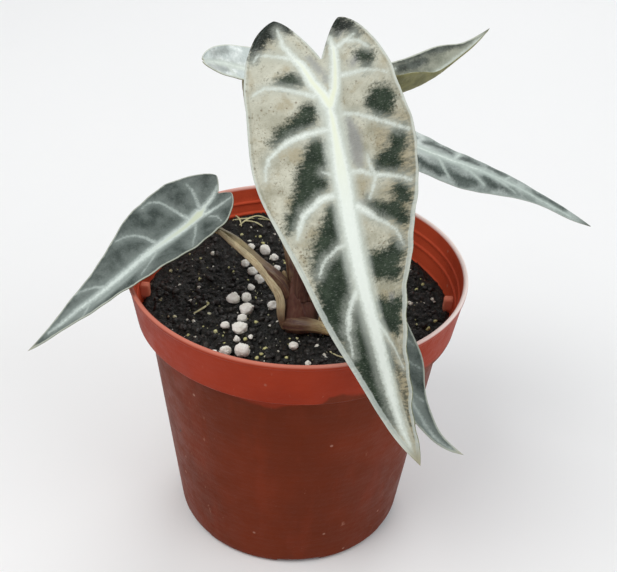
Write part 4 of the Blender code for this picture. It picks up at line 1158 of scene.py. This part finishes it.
def soil_grain(x, y):
    """Crumbs of many sizes: noise at four scales added up, the two middle ones ridged."""
    flat = np.stack([x, y, np.zeros_like(x)], -1)
    coarse = lattice_noise(flat, 5.5, 31)
    lump = np.abs(lattice_noise(flat, 2.6, 32))
    small = np.abs(lattice_noise(flat, 1.25, 33))
    fine = lattice_noise(flat, 0.6, 34)
    return 0.8 * coarse + 1.0 * (lump - 0.3) + 0.9 * (small - 0.3) + 0.42 * fine


def build_soil(mat):
    """The compost: a fine polar height sheet over a plug that fills the pot's inside."""
    a = np.linspace(0, 2 * pi, 540, endpoint=False)
    r = np.concatenate([np.linspace(0.02, 8, 12, endpoint=False), np.linspace(8, SOIL_RADIUS, 92)])
    x = r[:, None] * np.cos(a)
    y = r[:, None] * np.sin(a)
    fade = smooth_step(SOIL_RADIUS, SOIL_RADIUS - 1.5, r)[:, None]
    z = soil_level(x, y) + soil_grain(x, y) * (0.35 + 0.65 * fade) - 1.0 * (1 - fade)
    edge = SOIL_RADIUS - r[:, None] + 0 * x
    pile = Pile("edge")
    top = np.stack([x, y, z], -1)
    pile.add(top, close_columns=True, edge=edge)
    lows = []
    for radius, level in ((54.6, 88.45), (52.3, 88.2), (51.3, 86.0), (45.5, 42.0), (41.0, 6.2),
                          (39.0, 3.9), (20.0, 3.8), (0.02, 3.8)):
        lows.append(np.stack([radius * np.cos(a), radius * np.sin(a), np.full(len(a), level)], -1))
    pile.add(np.array([top[-1], *lows]), close_columns=True, edge=0.0)
    return place(pile.build("soil", mat), "compost", "soil")


def lump_shape(rows, columns):
    """A unit ball as rings of latitude, with both poles closed."""
    down = np.linspace(0, pi, rows)
    turn = np.linspace(0, 2 * pi, columns, endpoint=False)
    return np.stack([np.sin(down)[:, None] * np.cos(turn), np.sin(down)[:, None] * np.sin(turn),
                     np.cos(down)[:, None] + 0 * turn], -1)


def build_crumbs(name, mat, count, sizes, seed, reach=50.5, sink=0.35, tall=0.75, weight=2.0):
    """Many small crumbs on the compost, each a rough ball squashed, turned and half sunk."""
    rng = np.random.default_rng(seed)
    ball = lump_shape(5, 7)
    radius = reach * np.sqrt(rng.uniform(0, 1, count))
    angle = rng.uniform(0, 2 * pi, count)
    size = sizes[0] + (sizes[1] - sizes[0]) * rng.uniform(0, 1, count) ** weight
    x = radius * np.cos(angle)
    y = radius * np.sin(angle)
    near_crown = np.hypot(x - CROWN_SPOT[0], y - CROWN_SPOT[1]) < CROWN_CLEAR
    size = np.where(near_crown, size * 0.3, size)
    z = soil_level(x, y) + soil_grain(x, y) + size * (tall * 0.5 - sink)
    spin = rng.uniform(0, 2 * pi, (count, 2))
    squash = np.stack([rng.uniform(0.7, 1.3, count), rng.uniform(0.7, 1.1, count),
                       np.full(count, tall)], -1)
    shape = ball[None] * squash[:, None, None, :]
    shape = shape * (1.0 + 0.22 * rng.uniform(-1, 1, (count, *ball.shape[:2], 1)))
    shape[:, 0] = shape[:, :1, 0].reshape(count, 1, 3)
    shape[:, -1] = shape[:, -1:, 0].reshape(count, 1, 3)
    lean = spin[:, 1] * 0.15
    tilt_y = (shape[..., 1] * np.cos(lean)[:, None, None]
              - shape[..., 2] * np.sin(lean)[:, None, None])
    tilt_z = (shape[..., 1] * np.sin(lean)[:, None, None]
              + shape[..., 2] * np.cos(lean)[:, None, None])
    c = np.cos(spin[:, 0])[:, None, None]
    s = np.sin(spin[:, 0])[:, None, None]
    made = np.stack([shape[..., 0] * c - tilt_y * s, shape[..., 0] * s + tilt_y * c, tilt_z], -1)
    made = made * size[:, None, None, None] + np.stack([x, y, z], -1)[:, None, None]
    rows, columns = ball.shape[:2]
    faces = sheet_faces(rows, columns, close_columns=True)
    step = np.arange(count)[:, None, None] * rows * columns
    pile = Pile("tint")
    tint = np.repeat(rng.uniform(0, 1, count), rows * columns)
    pile.add_loose(made.reshape(-1, 3), (faces[None] + step).reshape(-1, 4), tint=tint)
    return place(pile.build(name, mat), "compost" if name == "soil_crumbs" else "perlite")


def soil_material():
    """Wet peat: near black with brown in it, small pale specks, and gloss that comes and goes."""
    mat, wire, shader = new_material("compost, wet peat")
    here = wire.place()
    colour = wire.group(MOTTLE, Vector=here, First=(0.004, 0.004, 0.0036), Second=(0.017, 0.016, 0.013),
                        Scale=420.0, Sharpness=0.16, Grain=0.6)[0]
    brown = wire.remap(wire.noise(here, 700.0, 3.0, 0.6), 0.60, 0.72)
    colour = wire.mix(wire.math("MULTIPLY", brown, 0.6), colour, (0.085, 0.050, 0.030))
    speck = wire.group(SPECKS, Vector=here, Scale=620.0, Size=0.26, Share=0.05)[0]
    colour = wire.mix(wire.math("MULTIPLY", speck, 0.8), colour, (0.34, 0.31, 0.20))
    wet = wire.noise(here, 500.0, 3.0)
    set_shader(shader, wire, Base_Color=colour, Roughness=wire.remap(wet, 0.35, 0.65, 0.28, 0.85),
               Normal=wire.bump(wire.noise(here, 1300.0, 5.0, 0.7), 0.0009, 1.0))
    shader.inputs["Specular IOR Level"].default_value = 0.38
    return mat


def crumb_material():
    mat, wire, shader = new_material("compost crumbs")
    here = wire.place()
    tint = wire.mask("tint")
    colour = wire.mix(wire.remap(tint, 0.5, 1.0), (0.005, 0.005, 0.0045), (0.028, 0.023, 0.017))
    colour = wire.mix(wire.remap(wire.noise(here, 900.0, 3.0), 0.4, 0.65), colour,
                      (0.020, 0.017, 0.015))
    set_shader(shader, wire, Base_Color=colour,
               Roughness=wire.remap(wire.noise(here, 800.0, 2.0), 0.3, 0.7, 0.25, 0.85),
               Normal=wire.bump(wire.noise(here, 2200.0, 3.0, 0.6), 0.0003, 0.8))
    return mat


def grit_material():
    mat, wire, shader = new_material("pale grit")
    here = wire.place()
    tint = wire.mask("tint")
    colour = wire.mix(wire.remap(tint, 0.35, 0.65), (0.78, 0.76, 0.68), (0.62, 0.60, 0.26))
    colour = wire.mix(wire.remap(wire.noise(here, 700.0, 3.0), 0.45, 0.7), colour,
                      (0.22, 0.19, 0.13))
    set_shader(shader, wire, Base_Color=colour,
               Roughness=wire.remap(wire.noise(here, 900.0, 2.0), 0.3, 0.7, 0.6, 0.95),
               Normal=wire.bump(wire.noise(here, 2400.0, 3.0, 0.6), 0.0002, 0.7))
    return mat


def perlite_material():
    """Popped grains: off-white and pitted, darker grey-brown towards the bottom."""
    mat, wire, shader = new_material("perlite, popped grains")
    here = wire.place()
    foot = wire.mask("foot")
    colour = wire.group(MOTTLE, Vector=here, First=(0.93, 0.92, 0.87), Second=(0.76, 0.74, 0.66),
                        Scale=360.0, Sharpness=0.18, Grain=0.4)[0]
    # Darker grey-brown towards the bottom of each grain, broken up by noise.
    low_darkening = wire.math("ADD", foot, wire.math("MULTIPLY", wire.noise(here, 500.0, 4.0, 0.6), 0.7))
    colour = wire.mix(wire.math("MULTIPLY", wire.remap(low_darkening, 0.85, 1.25), 0.8), colour,
                      (0.16, 0.12, 0.09))
    pit = wire.cells(here, 1300.0)
    height = wire.math("ADD", wire.math("MULTIPLY", pit, 0.8), wire.noise(here, 2000.0, 3.0, 0.6))
    set_shader(shader, wire, Base_Color=colour, Normal=wire.bump(height, 0.00022, 0.6),
               Roughness=wire.remap(pit, 0.0, 0.6, 0.75, 0.95))
    return mat


def build_grains(mat):
    """Each popped grain is a ball pushed out and in by three scales of noise, made a little
    larger than its node in the part, and let down on to the rough compost."""
    ball = lump_shape(34, 44)
    for index in range(PERLITE_COUNT):
        name = "perlite_%02d" % (index + 1)
        low, high = (np.array(v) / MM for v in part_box(name))
        centre = (low + high) / 2
        half = (high - low) / 2
        lump = (1.0 + 0.26 * lattice_noise(ball + 7.0 * index, 0.85, 41)
                + 0.17 * np.abs(lattice_noise(ball + 7.0 * index, 0.36, 42))
                + 0.03 * lattice_noise(ball + 7.0 * index, 0.14, 43))
        lump[0] = lump[0].mean()
        lump[-1] = lump[-1].mean()
        grain = ball * lump[..., None]
        grain = grain / np.abs(grain).reshape(-1, 3).max(0) * half * 1.04 + centre
        grain[..., 2] -= 0.45
        foot = 1.0 - (grain[..., 2] - grain[..., 2].min()) / np.ptp(grain[..., 2])
        pile = Pile("foot")
        pile.add(grain, close_columns=True, foot=foot)
        place(pile.build(name, mat), "perlite", name)


def build_fibres(mat):
    """Dry straw on the heap and a few bits about it: thin flat strips along bent paths."""
    straws = (
        ((-27, 44, 95.6), (-21, 45, 96.3), (-12, 46, 95.3)),
        ((-24, 41, 95.2), (-17, 46, 97.0), (-11, 45, 95.2)),
        ((-22, 43.5, 96.0), (-18, 42.5, 96.2), (-14.5, 41, 95.0)),
        ((-26, 47.5, 96.0), (-24, 44, 96.2), (-23, 40, 95.2)),
        ((12, -30, 89.3), (15, -33, 89.6), (19, -34, 89.3)),
        ((-36, -12, 89.4), (-33, -9, 89.8), (-31, -5, 89.3)),
        ((30, 8, 89.3), (33, 5, 89.7), (37, 4, 89.3)),
    )
    pile = Pile("run", "turn")
    for points in straws:
        points = np.array(points) + np.array([0.0, 0.0, 0.5])
        sweep(pile, points, (0.28, 0.34, 0.2), step=0.5, around=10,
              wide=(0.16, (0.2, -0.3, 1.0)), cap=0.4)
    return place(pile.build("soil_straw", mat), "dry_sheath")


# --- build -----------------------------------------------------------------------------------

CREAM = dict(
    lamina=((0.58, 0.57, 0.465), (0.34, 0.325, 0.24)), lobe=(0.60, 0.60, 0.50),
    blotch=(0.39, 0.34, 0.225), grain=(0.19, 0.15, 0.085), spots=(0.13, 0.085, 0.045),
    glow=(5.4, 2.2, 0.30, 0.75), rim_more=1.0, rim_strength=0.66,
    tan=((0.36, 0.31, 0.20), (0.105, 0.10, 0.065)),
    patch=((0.010, 0.020, 0.010), (0.034, 0.050, 0.031)), lobe_patch=(0.010, 0.014, 0.010),
    grey=(0.28, 0.285, 0.28), hair=4.2, patch_from=-2.7, lint=0.32, shadow=0.36, halo=0.50,
    halo_from=-3.0, ragged=1.1,
    line_from=-0.5, vein_strength=0.80, halo_colour=(0.50, 0.53, 0.47),
    side_vein=(0.66, 0.71, 0.65), vein=(0.80, 0.85, 0.79),
    joint=(0.82, 0.85, 0.60), rim_colour=(0.58, 0.63, 0.585), rim=0.9, rim_line=0.15,
    tip=(0.30, 0.27, 0.17), below=((0.20, 0.21, 0.10), (0.12, 0.13, 0.06)),
    below_rib=(0.33, 0.34, 0.22))
SLATE = dict(
    lamina=((0.128, 0.152, 0.140), (0.042, 0.056, 0.050)), cloud=230.0, ragged=1.0,
    glow=(3.8, 0.9, 0.5, 0.7),
    patch=((0.03, 0.05, 0.04), (0.05, 0.08, 0.06)), halo=0.6, halo_from=-4.0,
    lint=0.35, shadow=0.35,
    halo_colour=(0.25, 0.29, 0.27), side_vein=(0.46, 0.52, 0.49), vein=(0.64, 0.71, 0.67),
    vein_strength=0.7, line_from=-0.45, joint=(0.66, 0.70, 0.46),
    rim_colour=(0.46, 0.49, 0.42), rim=0.65,
    tip=(0.40, 0.40, 0.32), below=((0.15, 0.17, 0.09), (0.09, 0.11, 0.06)),
    below_rib=(0.28, 0.30, 0.20))
SILVER = dict(
    lamina=((0.42, 0.47, 0.445), (0.21, 0.245, 0.228)), cloud=190.0, ragged=1.0,
    patch=((0.040, 0.054, 0.048), (0.105, 0.130, 0.118)), halo=0.4, halo_from=-1.6,
    start=((0.66, 0.72, 0.69), (0.36, 0.41, 0.385)), glow=(2.6, 0.5, 0.25, 0.85), feather=1.6,
    halo_colour=(0.42, 0.49, 0.455), side_vein=(0.50, 0.57, 0.53), vein=(0.70, 0.77, 0.72),
    joint=(0.66, 0.72, 0.5), rim_colour=(0.40, 0.455, 0.42), rim=0.45, tip=(0.10, 0.12, 0.10),
    hair=1.8, below=((0.22, 0.20, 0.085), (0.11, 0.10, 0.045)), below_rib=(0.36, 0.34, 0.20))
FROST = dict(
    lamina=((0.36, 0.37, 0.30), (0.20, 0.212, 0.168)), cloud=210.0, ragged=1.0,
    start=((0.90, 0.95, 0.93), (0.56, 0.62, 0.60)),
    patch=((0.050, 0.058, 0.048), (0.120, 0.135, 0.118)), halo=0.4, halo_from=-1.6,
    glow=(2.4, 0.5, 0.25, 0.5), feather=1.6,
    halo_colour=(0.48, 0.52, 0.46), side_vein=(0.60, 0.66, 0.60), vein=(0.74, 0.80, 0.74),
    joint=(0.66, 0.72, 0.5), rim_colour=(0.58, 0.61, 0.52), rim=0.7, tip=(0.16, 0.17, 0.12),
    hair=3.0, below=((0.25, 0.24, 0.11), (0.15, 0.145, 0.065)), below_rib=(0.40, 0.38, 0.22))

mottled_skin = leaf_material("blade, cream and green", CREAM)
slate_skin = leaf_material("blade, slate green", SLATE)
silver_skin = leaf_material("blade, silver", SILVER)
frost_skin = leaf_material("blade, frosted grey", FROST)

blades = {}
for key, skin, slot, step in (("main", mottled_skin, "mottled_leaf", 0.5),
                              ("left", slate_skin, "dark_leaf", 0.45),
                              ("right", silver_skin, "silver_leaf", 0.45),
                              ("back", frost_skin, "silver_leaf", 0.45),
                              ("under", slate_skin, "dark_leaf", 0.45)):
    blades[key] = build_leaf(key, skin, slot, step)[1]

maroon = stalk_material("stalk skin, maroon", (0.072, 0.031, 0.022), (0.11, 0.045, 0.033),
                        (0.145, 0.075, 0.05))
olive = stalk_material("stalk skin, olive", (0.090, 0.040, 0.028), (0.30, 0.25, 0.13),
                       (0.20, 0.13, 0.065), turn_at=(9.0, 26.0))
dry = stalk_material("dry sheath, straw", (0.46, 0.34, 0.19), (0.60, 0.52, 0.32),
                     (0.24, 0.15, 0.08), rough=0.6)
old = stalk_material("old stalk, tan", (0.085, 0.034, 0.024), (0.46, 0.38, 0.19),
                     (0.16, 0.095, 0.048), turn_at=(8.5, 17.0), rough=0.55)
sheath = stalk_material("dry sheath, tan on brown", (0.15, 0.075, 0.042), (0.60, 0.52, 0.32),
                        (0.34, 0.23, 0.13), turn_at=(3.0, 11.0), rough=0.6)

STAND_OFF = 0.5              # a stalk stops this far under its blade
TURN_IN = 3.5                # and turns square to the blade this far under it
ROOT_DEPTH = 2.5             # a stalk starts this far inside the crown
FLARE = (1.9, 1.6)           # how much wider its two lowest stations are

build_crown(maroon)
for key, blade in blades.items():
    spot, face = blade.frame(np.array([0.0]))[:2]
    base, tip = STALK_SIZES[key]
    end = spot[0] - face[0] * STAND_OFF
    before = end - face[0] * TURN_IN
    foot = np.array(STALKS[key][0], float) - np.array([0.0, 0.0, ROOT_DEPTH])
    points = (tuple(foot), *STALKS[key][1:], tuple(before), tuple(end))
    sizes = np.linspace(base * 1.25, tip, len(points))
    sizes[:2] = base * FLARE[0], base * FLARE[1]
    pile = Pile("run", "turn")
    sweep(pile, points, sizes, ribs=0.03, ends=((0, 0, 1.0), face[0]))
    place(pile.build("stalk_" + key, maroon if key == "main" else olive),
          "maroon_stalk" if key == "main" else "green_stalk", "stalk_" + key)

SCALES = (
    ("sheath_left", sheath, "dry_sheath",
     ((-3.6, -18.3, 89.4), (-4.9, -18.0, 94.5), (-5.6, -16.8, 101.5), (-9.2, -13.4, 106.0),
      (-13.6, -10.4, 110.0), (-19, -6.8, 113.2), (-24.2, -3.8, 116.0), (-28, -2.2, 118.4)),
     (1.0, 1.5, 1.7, 1.6, 1.4, 1.25, 1.0, 0.6), (0.6, (-0.5, -0.8, 0.3))),
    ("old_stalk", old, "old_stalk",
     ((-3.4, -15.6, 91.2), (-0.2, -19.0, 92.2), (4.6, -21.0, 93.5), (9.6, -22.0, 93.4),
      (14, -22.4, 92.2), (18.5, -22.5, 90.6)), (2.2, 3.1, 2.6, 2.0, 1.75, 1.4), None),
    ("dry_scale", dry, "dry_sheath",
     ((8.6, -16.8, 88.8), (9.0, -16.5, 93), (8.9, -15.8, 99)), (2.1, 2.0, 0.6),
     (0.4, (0.85, -0.5, 0.0))),
    ("torn_scale", dry, "dry_sheath",
     ((-3.7, -10.9, 101.8), (-4.4, -10.0, 105.5), (-4.6, -9.3, 108)), (1.4, 1.3, 0.5),
     (0.3, (-0.5, -0.8, 0.2))),
)
for name, skin, slot, points, sizes, wide in SCALES:
    pile = Pile("run", "turn")
    sweep(pile, points, sizes, step=0.4, around=32, wide=wide, ribs=0.05)
    place(pile.build(name, skin), slot, name)

build_pot(pot_material())
build_soil(soil_material())
build_crumbs("soil_crumbs", crumb_material(), 2600, (0.3, 1.5), 51, weight=2.8)
build_crumbs("soil_grit", grit_material(), 420, (0.18, 1.0), 52, sink=0.2)
build_grains(perlite_material())
build_fibres(stalk_material("straw, pale", (0.52, 0.49, 0.28), (0.52, 0.49, 0.28),
                            (0.30, 0.26, 0.13), rough=0.6))


# --- stage, light and camera -----------------------------------------------------------------

def build_stage():
    """A pale floor that runs back and up into a wall in one sweep."""
    along = np.linspace(-3000, 3000, 3)
    turn = np.linspace(0, pi / 2, 24)
    y = np.concatenate([[-3000.0, 0.0], 1500 + 600 * np.sin(turn), [2100.0]])
    z = np.concatenate([[0.0, 0.0], 600 - 600 * np.cos(turn), [3600.0]])
    sheet = np.stack(np.broadcast_arrays(along[None, :], y[:, None], z[:, None]), -1)
    sheet[..., 2] -= 0.05
    mat, wire, shader = new_material("pale studio paper")
    here = wire.place()
    colour = wire.mix(wire.noise(here, 3.0, 2.0), (0.86, 0.86, 0.86), (0.88, 0.88, 0.88))
    set_shader(shader, wire, Base_Color=colour,
               Roughness=wire.remap(wire.noise(here, 40.0, 2.0), 0.3, 0.7, 0.8, 0.95))
    pile = Pile()
    pile.add(sheet, flip=True)
    stage = pile.build("studio_floor", mat)


def add_light(name, spot, target, size, power, tone):
    data = bpy.data.lights.new(name, "AREA")
    data.shape = "DISK"
    data.size = size
    data.energy = power
    data.color = tone
    lamp = bpy.data.objects.new(name, data)
    bpy.context.scene.collection.objects.link(lamp)
    lamp.location = spot
    lamp.rotation_mode = "QUATERNION"
    lamp.rotation_quaternion = (Vector(target) - Vector(spot)).to_track_quat("-Z", "Y")


def build_camera():
    """The viewer looks down 33 degrees at a point under the pot's lip, with a slight roll."""
    tilt = radians(33.17)
    roll = radians(2.64)
    away = 0.393
    target = Vector((0.00405, 0.0, 0.0959))
    ahead = Vector((0.0, cos(tilt), -sin(tilt)))
    right = Vector((1.0, 0.0, 0.0))
    up = right.cross(ahead)
    across = right * cos(roll) + up * sin(roll)
    upward = up * cos(roll) - right * sin(roll)
    data = bpy.data.cameras.new("camera")
    data.sensor_width = 36.0
    data.lens = 64.1815
    data.clip_start = 0.01
    data.clip_end = 20.0
    camera = bpy.data.objects.new("camera", data)
    bpy.context.scene.collection.objects.link(camera)
    turn = Matrix((across, upward, -ahead)).transposed()
    camera.matrix_world = Matrix.Translation(target - ahead * away) @ turn.to_4x4()
    bpy.context.scene.camera = camera


build_stage()
add_light("soft key", (-0.55, -0.45, 1.15), (0, 0, 0.1), 0.8, 7.4, (1.0, 0.99, 0.97))
add_light("soft fill", (0.9, -0.5, 0.75), (0, 0, 0.1), 1.0, 3.7, (0.97, 0.99, 1.0))
add_light("soft back", (0.2, 0.95, 0.95), (0, 0, 0.12), 0.8, 4.3, (1.0, 1.0, 1.0))
world = bpy.data.worlds.new("studio air")
world.use_nodes = True
world.node_tree.nodes["Background"].inputs["Color"].default_value = (0.93, 0.95, 0.97, 1.0)
world.node_tree.nodes["Background"].inputs["Strength"].default_value = 0.56
bpy.context.scene.world = world
bpy.context.scene.view_settings.view_transform = "Standard"
build_camera()
